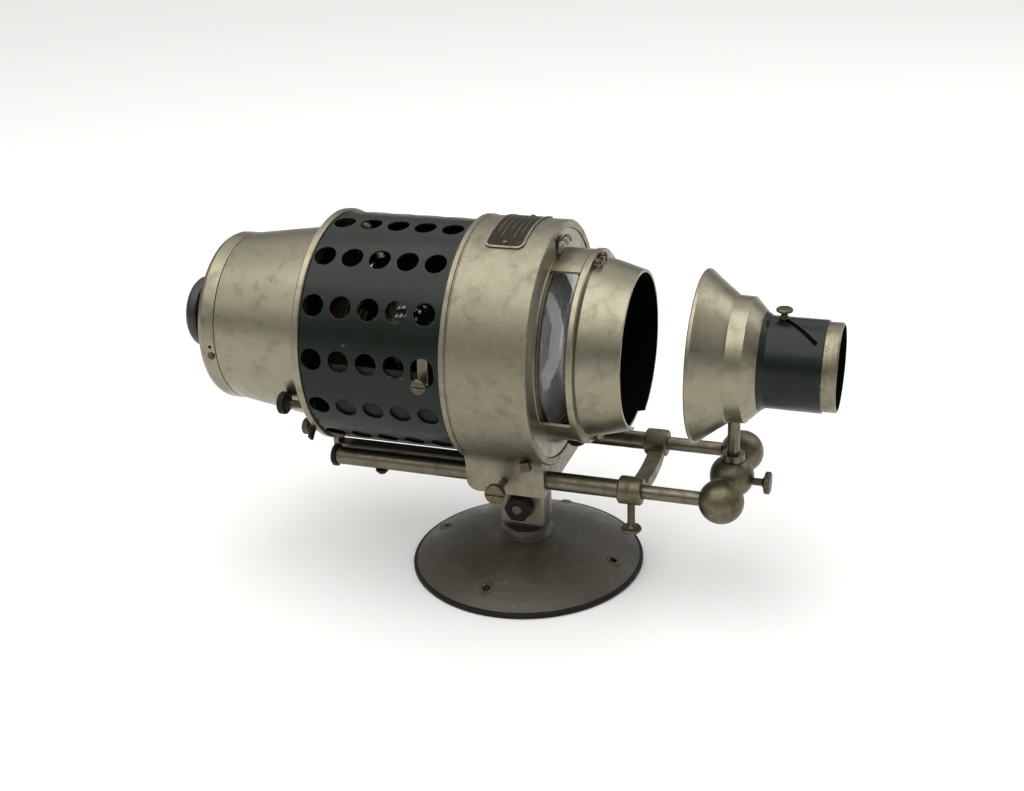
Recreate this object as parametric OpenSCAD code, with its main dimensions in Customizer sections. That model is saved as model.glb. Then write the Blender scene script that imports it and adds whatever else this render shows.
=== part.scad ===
// Lantern-slide projector: a lamp house on a tilting stand, a slide stage with a condenser,
// and a focusing lens carried on telescoping rails.
// Millimetres. +X points towards the lens, +Z up. The origin is the centre of the base's underside.

/* [Base] */
// Diameter of the round base over its rim
base_d = 168; // [150:1:220]
// Height of the dome's crown above the table
dome_h = 24; // [18:1:28]
// Thickness of the dome's metal
base_wall = 3; // [2:0.5:4]
// Width of the dark band around the edge of the base
rim_w = 2.5; // [2:0.5:6]
// Height of the dark band
rim_h = 4; // [4:0.5:7]
// Number of screw holes in the base
base_holes = 4; // [3:1:8]
// Diameter of a screw hole in the base
base_hole_d = 5.5; // [4:0.5:7]
// Distance of a screw hole from the edge of the base
base_hole_inset = 17; // [14:1:30]
// Turn of the screw holes about the stand
base_hole_turn = -7; // [-20:1:20]

/* [Stand] */
// Width of the post along the lantern
post_w = 31; // [28:1:38]
// Thickness of the post's tongue
tongue_t = 12; // [10:0.5:16]
// Thickness of each hanging cheek
cheek_t = 5; // [4:0.5:7]
// Height of the tilt bolt
tilt_z = 50; // [48:1:60]
// Diameter of the tilt bolt
tilt_bolt_d = 8; // [7:0.5:12]
// Width across the flats of the tilt nut
tilt_nut_af = 17.5; // [16:0.5:22]
// Drop of the cheeks below the tilt bolt
cheek_drop = 16; // [14:1:18]

/* [Lamp house] */
// Height of the optical axis
axis_z = 172; // [165:1:200]
// Diameter of the cast front band
band_d = 167; // [160:1:200]
// Length of the cast front band
band_len = 58; // [50:1:75]
// Wall of the cast front band
band_wall = 4; // [3:0.5:6]
// Length of the vented sleeve outside the band
sleeve_len = 103; // [95:1:140]
// Wall of the vented sleeve
sleeve_wall = 1.2; // [0.8:0.1:2]
// Step from the band down to the sleeve
sleeve_step = 3.5; // [2:0.1:5]
// Diameter of a vent hole
vent_d = 15; // [10:0.5:17]
// Vent holes in a row
vent_cols = 5; // [3:1:6]
// Distance between vent holes along a row
vent_pitch = 19.75; // [17:0.25:22]
// Rows of vent holes
vent_rows = 12; // [8:2:12]
// Angle between the rows
vent_step = 25.95; // [24:0.05:30]
// Length of the tapered rear can
can_len = 70; // [60:1:95]
// Diameter of the can where it meets the sleeve
can_front_d = 140; // [130:1:146]
// Diameter of the can at its cap
can_rear_d = 120.6; // [110:1:128]
// Wall of the can and its cap
can_wall = 1.6; // [1:0.1:2.5]
// Length of the rear cap
cap_len = 13.5; // [10:0.5:18]

/* [Slide stage] */
// Diameter of the stage barrel
stage_d = 130; // [126:1:140]
// Gap for the slide carrier along the axis
slot_len = 20; // [14:1:24]
// Length of the flange bead
flange_len = 5; // [4:0.5:8]
// Length of the nose cone
nose_len = 28; // [24:1:45]
// Diameter of the nose at its mouth
nose_d = 107.6; // [96:1:112]
// Wall of the stage casting
stage_wall = 2; // [1.6:0.2:3]
// Half the angle that the top strap spans
top_strap = 22; // [16:1:30]
// Half the angle that the bottom strap spans
bottom_strap = 56; // [30:1:60]
// How much smaller the condenser lenses are than the stage
condenser_inset = 12; // [11:1:24]

/* [Rails] */
// Distance between the two rails
rail_gap = 76; // [70:1:84]
// Height of the rails
rail_z = 86.3; // [84:0.1:90]
// Outside diameter of a rail tube
tube_d = 12.7; // [12:0.1:14]
// Wall of a rail tube
tube_wall = 1.5; // [1:0.1:2]
// Length of a rail tube
tube_len = 221; // [200:1:260]
// Reach of the tubes in front of the band
tube_reach = 63; // [55:1:80]
// Diameter of the balls
ball_d = 30; // [27:1:33]
// Distance of the balls in front of the tubes
rod_reach = 54; // [48:1:70]
// Length of an inner rod inside its tube
rod_hidden = 155; // [120:1:170]
// Outside diameter of the yoke's collars
collar_d = 19; // [17.5:0.5:22]
// Length of the yoke's collars
collar_len = 16; // [14:1:20]

/* [Lens] */
// Diameter of the post that carries the lens
lens_post_d = 8.4; // [7:0.1:10]
// Diameter of the hood at its mouth
hood_d = 115; // [108:1:124]
// Diameter of the hood's neck
hood_neck_d = 83.6; // [78:1:90]
// Wall of the hood
hood_wall = 1.8; // [1.4:0.2:3]
// Outside diameter of the focusing tube
focus_d = 60.6; // [56:0.2:64]
// Wall of the focusing tube
focus_wall = 1.2; // [1:0.1:2]
// Length of the focusing tube in front of the hood
focus_len = 40; // [36:1:50]
// Length of the barrel's bright front end at rest
barrel_show = 9.3; // [6:0.1:14]
// Travel of the focusing barrel
focus_travel = 20; // [12:1:22]
// Travel along the axis for a full turn of the barrel
focus_lead = 200; // [160:10:260]

/* [Lamp] */
// Diameter of the black rear knob
knob_d = 52; // [44:1:60]
// Thickness of the black rear knob
knob_len = 11.5; // [8:0.5:14]
// Distance of the rear knob behind the cap at rest
knob_gap = 21; // [18:1:30]
// Diameter of the lamp tube
lamp_tube_d = 26; // [22:1:30]
// Diameter of the lamp's glass bulb
bulb_d = 52; // [44:1:58]

/* [Fits] */
// Radial clearance of a shaft that turns or slides in its hole
run_fit = 0.05; // [0.03:0.01:0.1]
// Clearance between pieces that never touch
air = 0.4; // [0.3:0.1:0.6]
// Diameter of a thumb screw's shank
thumb_d = 5; // [4:0.5:6]
// Diameter of a thumb screw's head
thumb_head_d = 14; // [12:1:16]

/* [Hidden] */
$fn = 64;

NICKEL = [0.62, 0.60, 0.54];
CASTING = [0.58, 0.56, 0.50];
ENAMEL = [0.13, 0.17, 0.16];
BLACK = [0.08, 0.08, 0.08];
BRONZE = [0.27, 0.25, 0.22];
BRASS = [0.55, 0.47, 0.36];
STEEL = [0.50, 0.49, 0.46];
GLASS = [0.80, 0.86, 0.88, 0.45];
EPS = 0.01;

// Places along the optical axis
band_front = 31;
band_rear = band_front - band_len;
sleeve_tuck = 5;
sleeve_rear = band_rear - sleeve_len;
ring_t = 3;
can_front = sleeve_rear - ring_t;
can_rear = can_front - can_len;
cap_joint = 0.6;
cap_front = can_rear - cap_joint;
cap_rear = cap_front - cap_len;
recess_depth = 3;
plate_t = 4;
stage_seat = band_front - recess_depth;
stage_foot_t = 2.2;
slot_rear = band_front;
slot_front = slot_rear + slot_len;
flange_front = slot_front + flange_len;
nose_front = flange_front + nose_len;

// Radii about the optical axis
band_r = band_d / 2;
band_in = band_r - band_wall;
sleeve_r = band_r - sleeve_step;
sleeve_in = sleeve_r - sleeve_wall;
ring_r = sleeve_r + 1.8;
bead_h = 0.7;
lip_w = 5.2;
stage_r = stage_d / 2;
stage_in = stage_r - stage_wall;
shield_r = sleeve_in - 1;
shield_first = 88;
shield_wall = 0.9;
can_front_r = can_front_d / 2;
can_rear_r = can_rear_d / 2;

// Rails and lens
rail_y = rail_gap / 2;
tube_r = tube_d / 2;
tube_front = band_front + tube_reach;
tube_rear = tube_front - tube_len;
rod_r = tube_r - tube_wall - run_fit;
ball_r = ball_d / 2;
ball_x = tube_front + rod_reach;
rod_rear = tube_front - rod_hidden;
post_x = ball_x + 0.5;
post_r = lens_post_d / 2;
hood_rear = post_x - 23;
neck_rear = post_x - 1;
neck_front = post_x + 10.5;
hood_front = neck_front + 7.5;
focus_r = focus_d / 2;
focus_in = focus_r - focus_wall;
focus_front = hood_front + focus_len;
barrel_r = focus_in - run_fit;
barrel_wall = 1.6;
barrel_front = focus_front + barrel_show;
focus_screw_x = hood_front + 12;
focus_screw_d = 2.4;
block_half = rail_y + 10;
block_floor = rail_z - 9.3;
block_rear = band_rear + 1;
block_front = band_front - 1.5;

// Lamp
knob_rear = cap_rear - knob_gap - knob_len;
lamp_tube_r = lamp_tube_d / 2;
lamp_x = (band_rear + sleeve_rear) / 2 - 6;

// ---------- helpers ----------

// A profile of [radius, x] points turned about the optical axis
module turned(points) {
    translate([0, 0, axis_z]) rotate([0, 90, 0]) rotate_extrude() polygon(points);
}

// A plain ring about the optical axis
module band(r_out, r_in, x1, x2) {
    turned([[r_in, x1], [r_out, x1], [r_out, x2], [r_in, x2]]);
}

// Children drawn along +Z point outwards at an angle from the top towards the near side
module at_clock(x, angle) {
    translate([x, 0, axis_z]) rotate([angle, 0, 0]) children();
}

// Children repeated on both rails
module on_rails() {
    for (side = [-1, 1]) translate([0, side * rail_y, rail_z]) children();
}

// A rod along +X from x1 to x2, about the current origin
module x_rod(r, x1, x2) {
    translate([x1, 0, 0]) rotate([0, 90, 0]) cylinder(r = r, h = x2 - x1);
}

// A sector of the optical axis that spans both sides of an angle, as a solid wedge
module wedge(half, x1, x2, reach) {
    translate([x1, 0, 0]) rotate([90, 0, 90]) linear_extrude(x2 - x1)
        polygon([[0, 0], [-reach * tan(half), reach], [reach * tan(half), reach]]);
}

// A thumb screw: tip at the origin, head outwards along +Z
module thumb_screw(length, head_t = 4.5, head_d = thumb_head_d, slot = true, notches = 24) {
    difference() {
        rotate_extrude() polygon([
            [0, 0], [thumb_d / 2 - 0.5, 0], [thumb_d / 2, 0.5], [thumb_d / 2, length - 2],
            [head_d * 0.3, length], [head_d / 2 - 0.7, length], [head_d / 2, length + 0.7],
            [head_d / 2, length + head_t - 0.8], [head_d / 2 - 0.8, length + head_t], [0, length + head_t]
        ]);
        if (slot) translate([-head_d, -0.6, length + head_t - 1.4]) cube([2 * head_d, 1.2, 2]);
        for (k = [0 : notches - 1]) rotate([0, 0, k * 360 / notches])
            translate([head_d / 2 + 0.25, 0, length - 1]) cylinder(d = 1, h = head_t + 2, $fn = 16);
    }
}

// A small round-headed screw: head outwards along +Z, seat at the origin
module round_screw(head_d, head_h, shank_d, shank_len) {
    difference() {
        rotate_extrude() polygon([
            [0, -shank_len], [shank_d / 2, -shank_len], [shank_d / 2, 0], [head_d / 2, 0],
            [head_d / 2, head_h * 0.4], [head_d * 0.36, head_h * 0.85], [0, head_h]
        ]);
        translate([-head_d, -head_d * 0.09, head_h * 0.45]) cube([2 * head_d, head_d * 0.18, head_h]);
    }
}

// ---------- base and stand ----------

rim_in = base_d / 2 - rim_w;
boss_r = post_w / 2 + 5;
hole_circle_r = base_d / 2 - base_hole_inset;
boss_screw_gap = 18;
// Height of the dome's outer face at a radius
function dome_z(r) = rim_h + (dome_h - rim_h) * (1 - pow(max(r - boss_r, 0) / (rim_in - boss_r), 1.9));
dome_steps = 9;
dome_rs = [for (k = [0 : dome_steps]) boss_r + (rim_in - boss_r) * k / dome_steps];

module base_plate() {
    color(BRONZE) difference() {
        union() {
            rotate_extrude() polygon(concat(
                [[0, dome_h - base_wall - 3], [0, dome_h], [boss_r, dome_h]],
                [for (r = dome_rs) [r, dome_z(r)]],
                [[rim_in, rim_h - base_wall + 1]],
                [for (k = [0 : dome_steps])
                    let (r = dome_rs[dome_steps - k] - 1.5) [r, dome_z(r) - base_wall]],
                [[boss_r - 2, dome_h - base_wall - 3]]
            ));
            for (k = [0 : base_holes - 1]) rotate([0, 0, base_hole_turn + k * 360 / base_holes])
                translate([hole_circle_r, 0, 0]) cylinder(r = base_hole_d / 2 + 3, h = dome_z(hole_circle_r) - 1);
        }
        for (k = [0 : base_holes - 1]) rotate([0, 0, base_hole_turn + k * 360 / base_holes])
            translate([hole_circle_r, 0, -1]) cylinder(d = base_hole_d, h = dome_h + 2);
        for (side = [-1, 1]) translate([side * boss_screw_gap / 2, 0, 0]) cylinder(d = 5.2, h = dome_h + 1);
    }
}

module base_rim() {
    color(BLACK) rotate_extrude() polygon([
        [rim_in - 1.5, 0], [base_d / 2 - 1, 0], [base_d / 2, 1], [base_d / 2, rim_h - 1.6],
        [base_d / 2 - 0.5, rim_h - 0.5], [base_d / 2 - 1.6, rim_h], [rim_in + 0.08, rim_h],
        [rim_in + 0.08, rim_h - base_wall + 0.92], [rim_in - 1.5, rim_h - base_wall - 0.08]
    ]);
}

module tilt_post() {
    flare = 5;
    // the swinging cheeks clear the flare at either end of the tilt
    flare_h = tilt_z - post_w / 2 * sin(20) - cheek_drop * cos(20) - 0.4 - dome_h;
    color(BRONZE) difference() {
        union() {
            translate([0, 0, dome_h]) intersection() {
                rotate_extrude() polygon(concat(
                    [[0, 0]],
                    [for (k = [0 : 8]) [post_w / 2 + flare * pow(1 - k / 8, 2.2), flare_h * k / 8]],
                    [[0, flare_h]]
                ));
                translate([-post_w, -post_w / 2 - 4, -1]) cube([2 * post_w, post_w + 8, flare_h + 2]);
            }
            translate([-post_w / 2, -tongue_t / 2, dome_h]) cube([post_w, tongue_t, tilt_z - dome_h]);
            translate([0, tongue_t / 2, tilt_z]) rotate([90, 0, 0]) cylinder(d = post_w, h = tongue_t);
        }
        translate([0, tongue_t, tilt_z]) rotate([90, 0, 0]) cylinder(r = tilt_bolt_d / 2 + run_fit, h = 2 * tongue_t);
        for (side = [-1, 1]) translate([side * boss_screw_gap / 2, 0, dome_h - 1]) cylinder(d = 5, h = 11);
    }
}

module post_screws() {
    under = dome_h - base_wall - 3;
    color(STEEL) for (side = [-1, 1]) translate([side * boss_screw_gap / 2, 0, under])
        rotate([180, 0, 0]) round_screw(8, 2.6, 4.8, base_wall + 3 + 8);
}

// ---------- front casting ----------

cheek_in = tongue_t / 2 + 0.15;
cheek_out = cheek_in + cheek_t;
rail_screw_x = 1;
set_screw_x = 20;
// A fillet between the block's side and the band: its centre and the height where it meets the band
fillet_r = 20;
fillet_y = block_half + fillet_r;
fillet_z = axis_z - sqrt(pow(band_r + fillet_r, 2) - pow(fillet_y, 2));
fillet_top = axis_z - (axis_z - fillet_z) * band_r / (band_r + fillet_r);
set_screw_z = rail_z + 18.5;

module front_casting() {
    color(CASTING) difference() {
        union() {
            turned([
                [sleeve_r + 0.08, band_rear], [band_r + bead_h, band_rear], [band_r + bead_h, band_rear + 3],
                [band_r - 0.6, band_rear + 3.5], [band_r - 0.6, band_rear + 4.1], [band_r, band_rear + 4.6],
                [band_r, band_front - 0.8], [band_r - 0.8, band_front], [band_r - lip_w, band_front],
                [band_r - lip_w, stage_seat], [stage_r + 0.1, stage_seat],
                [stage_r + 0.1, stage_seat - plate_t], [band_in, stage_seat - plate_t],
                [band_in, band_rear + sleeve_tuck + 0.2], [sleeve_r + 0.08, band_rear + sleeve_tuck + 0.2]
            ]);
            difference() {
                union() {
                    translate([block_rear, -block_half, block_floor + 8])
                        cube([block_front - block_rear, 2 * block_half, axis_z - block_floor - 40]);
                    translate([block_rear + 8, -block_half, block_floor])
                        cube([block_front - block_rear - 8, 2 * block_half, 12]);
                    translate([block_rear + 8, block_half, block_floor + 8])
                        rotate([90, 0, 0]) cylinder(r = 8, h = 2 * block_half);
                    // fillet between the block's sides and the band
                    for (side = [-1, 1]) difference() {
                        translate([block_rear, side > 0 ? block_half - 1 : -fillet_y, fillet_z])
                            cube([block_front - block_rear, fillet_r + 1, fillet_top - fillet_z]);
                        translate([0, side * fillet_y, fillet_z]) x_rod(fillet_r, block_rear - 1, block_front + 1);
                    }
                }
                translate([0, 0, axis_z]) x_rod(band_r - 1, block_rear - 1, band_front + 1);
            }
            for (side = [-1, 1]) translate([-post_w / 2, side > 0 ? cheek_in : -cheek_out, tilt_z - cheek_drop])
                cube([post_w, cheek_t, block_floor - tilt_z + cheek_drop + 2]);
        }
        on_rails() x_rod(tube_r + run_fit, band_rear - 5, band_front + 5);
        translate([0, cheek_out + 1, tilt_z]) rotate([90, 0, 0])
            cylinder(r = tilt_bolt_d / 2 + run_fit, h = 2 * cheek_out + 2);
        translate([rail_screw_x, -rail_y, rail_z]) rotate([90, 0, 0])
            cylinder(r = thumb_d / 2 + run_fit, h = block_half);
        translate([set_screw_x, -block_half + 12, set_screw_z]) rotate([90, 0, 0]) cylinder(d = 5, h = block_half);
    }
}

module tilt_bolt() {
    head_t = 5.5;
    reach = cheek_out + 1.6;
    color(STEEL) translate([0, 0, tilt_z]) rotate([90, 0, 0]) union() {
        translate([0, 0, -reach]) cylinder(d = tilt_bolt_d, h = 2 * reach + 8.3);
        translate([0, 0, reach + 8.28]) cylinder(d1 = tilt_bolt_d, d2 = tilt_bolt_d - 1.6, h = 0.9);
        translate([0, 0, -reach - head_t]) cylinder(d = tilt_nut_af * 1.1547, h = head_t, $fn = 6);
    }
}

module tilt_washers() {
    color(STEEL) for (side = [-1, 1]) translate([0, side * (cheek_out + 0.8), tilt_z]) rotate([90, 0, 0])
        difference() {
            cylinder(d = tilt_nut_af + 4, h = 1.5, center = true);
            cylinder(r = tilt_bolt_d / 2 + run_fit, h = 3, center = true);
        }
}

module tilt_nut() {
    nut_t = 8.5;
    color(BLACK) translate([0, -cheek_out - 1.6, tilt_z]) rotate([90, 0, 0]) difference() {
        intersection() {
            cylinder(d = tilt_nut_af * 1.1547, h = nut_t, $fn = 6);
            rotate_extrude() polygon([
                [0, 0], [tilt_nut_af / 2 + 1.3, 0], [tilt_nut_af / 2 + 1.3, nut_t - 1.2],
                [tilt_nut_af / 2 - 0.6, nut_t], [0, nut_t]
            ]);
        }
        translate([0, 0, -1]) cylinder(r = tilt_bolt_d / 2 + run_fit, h = nut_t + 2);
    }
}

plate_x1 = band_rear + 16;
plate_x2 = band_front - 15;
plate_half = 0.415 * band_r;
plate_t2 = 1.1;

// A vertical prism with round corners, centred over the name plate
module rounded_prism(x1, x2, half, corner, h) {
    translate([x1 + corner, -half, 0]) cube([x2 - x1 - 2 * corner, 2 * half, h]);
    translate([x1, -half + corner, 0]) cube([x2 - x1, 2 * (half - corner), h]);
    for (x = [x1 + corner, x2 - corner]) for (side = [-1, 1])
        translate([x, side * (half - corner), 0]) cylinder(r = corner, h = h);
}

module name_plate() {
    border = 1.4;
    color(STEEL) difference() {
        intersection() {
            band(band_r + plate_t2, band_r + 0.03, plate_x1 - 1, plate_x2 + 1);
            translate([0, 0, axis_z + 40]) rounded_prism(plate_x1, plate_x2, plate_half, 5, band_r);
        }
        intersection() {
            band(band_r + plate_t2 + 1, band_r + plate_t2 - 0.45, plate_x1 - 1, plate_x2 + 1);
            translate([0, 0, axis_z + 40])
                rounded_prism(plate_x1 + border, plate_x2 - border, plate_half - border, 3.8, band_r);
        }
        for (side = [-1, 1]) at_clock((plate_x1 + plate_x2) / 2, side * 20.5)
            translate([0, 0, band_r - 1]) cylinder(d = 1.9, h = 5);
    }
}

module plate_screws() {
    color(BRASS) for (side = [-1, 1]) at_clock((plate_x1 + plate_x2) / 2, side * 20.5)
        translate([0, 0, band_r + plate_t2 - 0.4]) round_screw(3.4, 1, 1.8, plate_t2 - 0.5);
}

// ---------- lamp house ----------

vent_front = band_rear - 13.2;
vent_first = 8.1;
clamp_row = 3;
clamp_angle = vent_first + clamp_row * vent_step;
clamp_x = vent_front;
clamp_screw_angle = clamp_angle + 6;
slot_d = vent_d + 1;
slot_stretch = 1.9;
slot_angle = clamp_angle + 1.6;
strap_w = 7;
strap_t = 1.3;
strap_half = asin((slot_d / 2 + slot_stretch) / sleeve_r) + 2.5;

module vent_sleeve() {
    color(ENAMEL) difference() {
        band(sleeve_r, sleeve_in, sleeve_rear, band_rear + sleeve_tuck);
        for (row = [-vent_rows / 2 : vent_rows / 2 - 1]) for (col = [0 : vent_cols - 1])
            if (row != clamp_row || col > 0) at_clock(vent_front - col * vent_pitch, vent_first + row * vent_step)
                translate([0, 0, sleeve_in - 3]) cylinder(d = vent_d, h = 8, $fn = 32);
        // the longer hole for the clamp screw
        at_clock(clamp_x, slot_angle) translate([0, 0, sleeve_in - 3]) union() {
            for (side = [-1, 1]) translate([0, side * slot_stretch, 0]) cylinder(d = slot_d, h = 8);
            translate([-slot_d / 2, -slot_stretch, 0]) cube([slot_d, 2 * slot_stretch, 8]);
        }
    }
}

lamp_screw_r = sleeve_in - thumb_d / 2 - air;
upper_angle = 117;
lower_angle = 150;
latch_angle = 134;
lamp_screw_len = 22;

module rear_ring() {
    color(NICKEL) difference() {
        turned([
            [can_front_r - 4, can_front], [ring_r - 0.8, can_front], [ring_r, can_front + 0.8],
            [ring_r, sleeve_rear + 1.2], [ring_r - 0.8, sleeve_rear + 2], [sleeve_r + 0.03, sleeve_rear + 2],
            [sleeve_r + 0.03, sleeve_rear - 0.02], [can_front_r - 4, sleeve_rear - 0.02]
        ]);
        for (a = [upper_angle, lower_angle]) at_clock(can_front - 5, a) translate([0, 0, lamp_screw_r])
            x_rod(thumb_d / 2 + run_fit, 0, 20);
        at_clock(can_front - 5, latch_angle) translate([0, 0, lamp_screw_r]) x_rod(2 + run_fit, 0, 20);
    }
}

// Inner wall behind the vents: below and on the far side, open above the lamp on the near side
module heat_shield() {
    x1 = sleeve_rear + 22;
    x2 = band_rear - 2;
    open_half = 62.5;
    open_mid = shield_first - open_half;
    color(ENAMEL) difference() {
        union() {
            band(shield_r, shield_r - shield_wall, x1, x2);
            for (x = [x1 + 3, x2 - 9]) for (a = [1.5 * vent_step, 4.5 * vent_step, 8.5 * vent_step])
                at_clock(x, clamp_angle + a) translate([-2, -3, shield_r - 0.5]) cube([4, 6, sleeve_in - shield_r + 0.38]);
        }
        at_clock(0, open_mid) wedge(open_half, x1 - 1, x2 + 1, 2 * sleeve_r);
        at_clock(0, slot_angle) wedge(strap_half + 1, clamp_x - strap_w / 2 - 1, x2 + 1, 2 * sleeve_r);
    }
}

module rear_can() {
    color(NICKEL) turned([
        [can_front_r - 1.6, can_front - 0.02], [can_front_r + 1.2, can_front - 0.02],
        [can_front_r + 1.2, can_front - 1.2], [can_front_r - 0.2, can_front - 2.2],
        [can_rear_r, can_rear], [can_rear_r - can_wall, can_rear],
        [can_front_r - 0.2 - can_wall, can_front - 2.2]
    ]);
}

cap_screw_angle = 98;

module rear_cap() {
    r = can_rear_r + 0.1;
    bush = 4;
    color(NICKEL) difference() {
        turned([
            [lamp_tube_r + run_fit, cap_rear - 1.5], [lamp_tube_r + bush, cap_rear - 1.5],
            [lamp_tube_r + bush + 0.8, cap_rear], [r - 4, cap_rear], [r - 1.2, cap_rear + 1.2],
            [r, cap_rear + 4], [r, cap_front], [r - can_wall - 0.12, cap_front],
            [r - can_wall - 0.12, cap_front + 4], [r - 2 * can_wall, cap_front + 4],
            [r - 2 * can_wall, cap_rear + 2], [lamp_tube_r + bush, cap_rear + 2],
            [lamp_tube_r + bush, cap_rear + 9], [lamp_tube_r + run_fit, cap_rear + 9]
        ]);
        for (a = [cap_screw_angle, cap_screw_angle - 6.5, cap_screw_angle + 180])
            at_clock(cap_front - 3.6, a) translate([0, 0, r - 4]) cylinder(d = 2.5, h = 8);
    }
}

module cap_screws() {
    color(STEEL) for (a = [cap_screw_angle, cap_screw_angle + 180]) at_clock(cap_front - 3.6, a)
        translate([0, 0, can_rear_r + 0.12]) round_screw(5.4, 1.9, 2.4, 5);
}

brace_y = 20;

module brace_bars() {
    w = 10;
    t = 3;
    top = axis_z - sqrt(pow(band_r + bead_h, 2) - pow(brace_y - w / 2, 2)) - air;
    color(STEEL) for (side = [-1, 1]) translate([0, side * brace_y - w / 2, top - t]) union() {
        translate([can_front - 4, 0, 0]) cube([block_rear - 0.02 - can_front + 4, w, t]);
        translate([can_front - 4, 0, 0.5]) cube([3.98, w, t + 8]);
    }
}

// ---------- condenser ----------

cond_r = (stage_d - condenser_inset) / 2;
cell_r = stage_in - 1.5;
cell_in = cond_r + 0.2;
cell_rear = band_rear + 8;
cell_front = slot_rear + 0.8;
front_lens_x = stage_seat - 2;
rear_lens_x = cell_rear + 5;
glass_edge = 3;
glass_bulge = 10;

// Height of a condenser's dome above its edge at a radius
dome_ball = (cond_r * cond_r + glass_bulge * glass_bulge) / (2 * glass_bulge);
function dome_rise(r) = glass_bulge - dome_ball + sqrt(pow(dome_ball, 2) - r * r);

// A lens with one flat and one domed side, its flat side at x, domed towards +X
module plano_convex(x, r, edge, bulge) {
    ball = (r * r + bulge * bulge) / (2 * bulge);
    steps = 14;
    half = asin(r / ball);
    turned(concat([[0, x], [r, x]], [for (k = [0 : steps]) let (a = half * (1 - k / steps))
        [ball * sin(a), x + edge + bulge - ball * (1 - cos(a))]]));
}

module condenser_cell() {
    flange_r = (stage_r + band_in) / 2 + 2;
    spigot_r = stage_in - air;
    seat = stage_seat - plate_t - 0.02;
    color(STEEL) turned([
        [cell_in - 4, cell_rear], [cell_r, cell_rear], [cell_r, seat - 3], [flange_r, seat - 3],
        [flange_r, seat], [spigot_r, seat], [spigot_r, cell_front], [cell_in, cell_front],
        [cell_in, cell_rear + 4.8], [cell_in - 4, cell_rear + 4.8]
    ]);
}

module rear_condenser() { color(GLASS) plano_convex(rear_lens_x, cond_r, glass_edge, glass_bulge); }

module condenser_spacer() {
    color(STEEL) band(cell_in - 0.1, cell_in - 2, rear_lens_x + glass_edge + dome_rise(cell_in - 2) + 0.05, front_lens_x - 0.1);
}

module front_condenser() { color(GLASS) plano_convex(front_lens_x, cond_r, glass_edge, glass_bulge); }

module condenser_ring() {
    x = front_lens_x + glass_edge + 0.3;
    color(STEEL) turned([
        [cell_in - 2.6, x + 0.9], [cell_in - 0.1, x], [cell_in - 0.1, x + 2], [cell_in - 1.2, x + 3],
        [cell_in - 2.6, x + 2.6]
    ]);
}

module cell_set_screw() {
    head = 6.5;
    color(STEEL) translate([set_screw_x, -block_half, set_screw_z]) rotate([90, 0, 0]) union() {
        translate([0, 0, -11]) cylinder(d = 4.9, h = 18);
        rotate([0, 0, 12]) translate([-head / 2, -head / 2, 6.5]) cube([head, head, 5]);
    }
}

module clamp_strap() {
    color(STEEL) difference() {
        intersection() {
            band(sleeve_in - 0.12, sleeve_in - strap_t, clamp_x - strap_w / 2, clamp_x + strap_w / 2);
            at_clock(0, slot_angle)
                wedge(strap_half, clamp_x - strap_w / 2 - 1, clamp_x + strap_w / 2 + 1, sleeve_r + 5);
        }
        at_clock(clamp_x, clamp_screw_angle) translate([0, 0, sleeve_in - 5])
            cylinder(r = thumb_d / 2 + run_fit, h = 8);
    }
}

module cell_clamp_screw() {
    tip = sleeve_in - strap_t - 3;
    color(STEEL) at_clock(clamp_x, clamp_screw_angle) translate([0, 0, tip])
        thumb_screw(sleeve_r + 5.5 - tip, 3, thumb_head_d - 3.2);
}

// ---------- slide stage ----------

notch_w = 32;
notch_len = 5;
knob_stem_d = 5;
stage_knob_x = (slot_rear + slot_front) / 2 - 2;
stage_screw_x = flange_front + 2.8;
stage_screw_seat = stage_r - 1.6;
STAGE_SCREWS = [9, -3, 168];

module slide_stage() {
    tip = nose_d / 2;
    w = stage_wall;
    color(NICKEL) difference() {
        union() {
            turned([
                [stage_in, stage_seat + 0.02], [band_r - lip_w - 0.3, stage_seat + 0.02],
                [band_r - lip_w - 0.3, stage_seat + stage_foot_t], [stage_r, stage_seat + stage_foot_t],
                [stage_r, slot_front], [stage_r + 0.9, slot_front + 0.9],
                [stage_r + 0.9, flange_front - 1], [stage_r, flange_front],
                [tip + 6.8, flange_front + 0.8], [tip + 5.2, flange_front + nose_len * 0.3],
                [tip + 3, flange_front + nose_len * 0.6], [tip + 0.8, flange_front + nose_len * 0.88],
                [tip, nose_front], [tip - w, nose_front], [tip + 0.8 - w, flange_front + nose_len * 0.88],
                [tip + 5.2 - w, flange_front + nose_len * 0.3], [tip + 6.8 - w, slot_front + 3.4],
                [stage_in, slot_front + 1.8]
            ]);
            for (a = STAGE_SCREWS) at_clock(stage_screw_x, a)
                translate([0, 0, tip + 4.6]) cylinder(d = 6.4, h = stage_screw_seat - tip - 4.6);
        }
        // side windows for the slide carrier
        difference() {
            translate([slot_rear, -stage_r - 5, axis_z - stage_r - 5])
                cube([slot_len, 2 * stage_r + 10, 2 * stage_r + 10]);
            translate([0, 0, axis_z]) wedge(top_strap, slot_rear - 1, slot_front + 1, stage_r + 2);
            translate([0, 0, axis_z]) rotate([180, 0, 0]) wedge(bottom_strap, slot_rear - 1, slot_front + 1, stage_r + 2);
        }
        // notch under the mouth
        translate([nose_front - notch_len, -notch_w / 2, axis_z - tip - 8]) cube([notch_len + 1, notch_w, 30]);
        // stem of the knob below
        translate([stage_knob_x, 0, axis_z - stage_r - 4]) cylinder(r = knob_stem_d / 2 + run_fit, h = 12);
        for (a = STAGE_SCREWS) at_clock(stage_screw_x, a)
            translate([0, 0, stage_r - 12]) cylinder(d = 2.7, h = 20);
    }
}

module stage_screws() {
    color(STEEL) for (a = STAGE_SCREWS) at_clock(stage_screw_x, a)
        translate([0, 0, stage_screw_seat + 0.05]) round_screw(5.2, 2.6, 2.5, 5);
}

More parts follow.
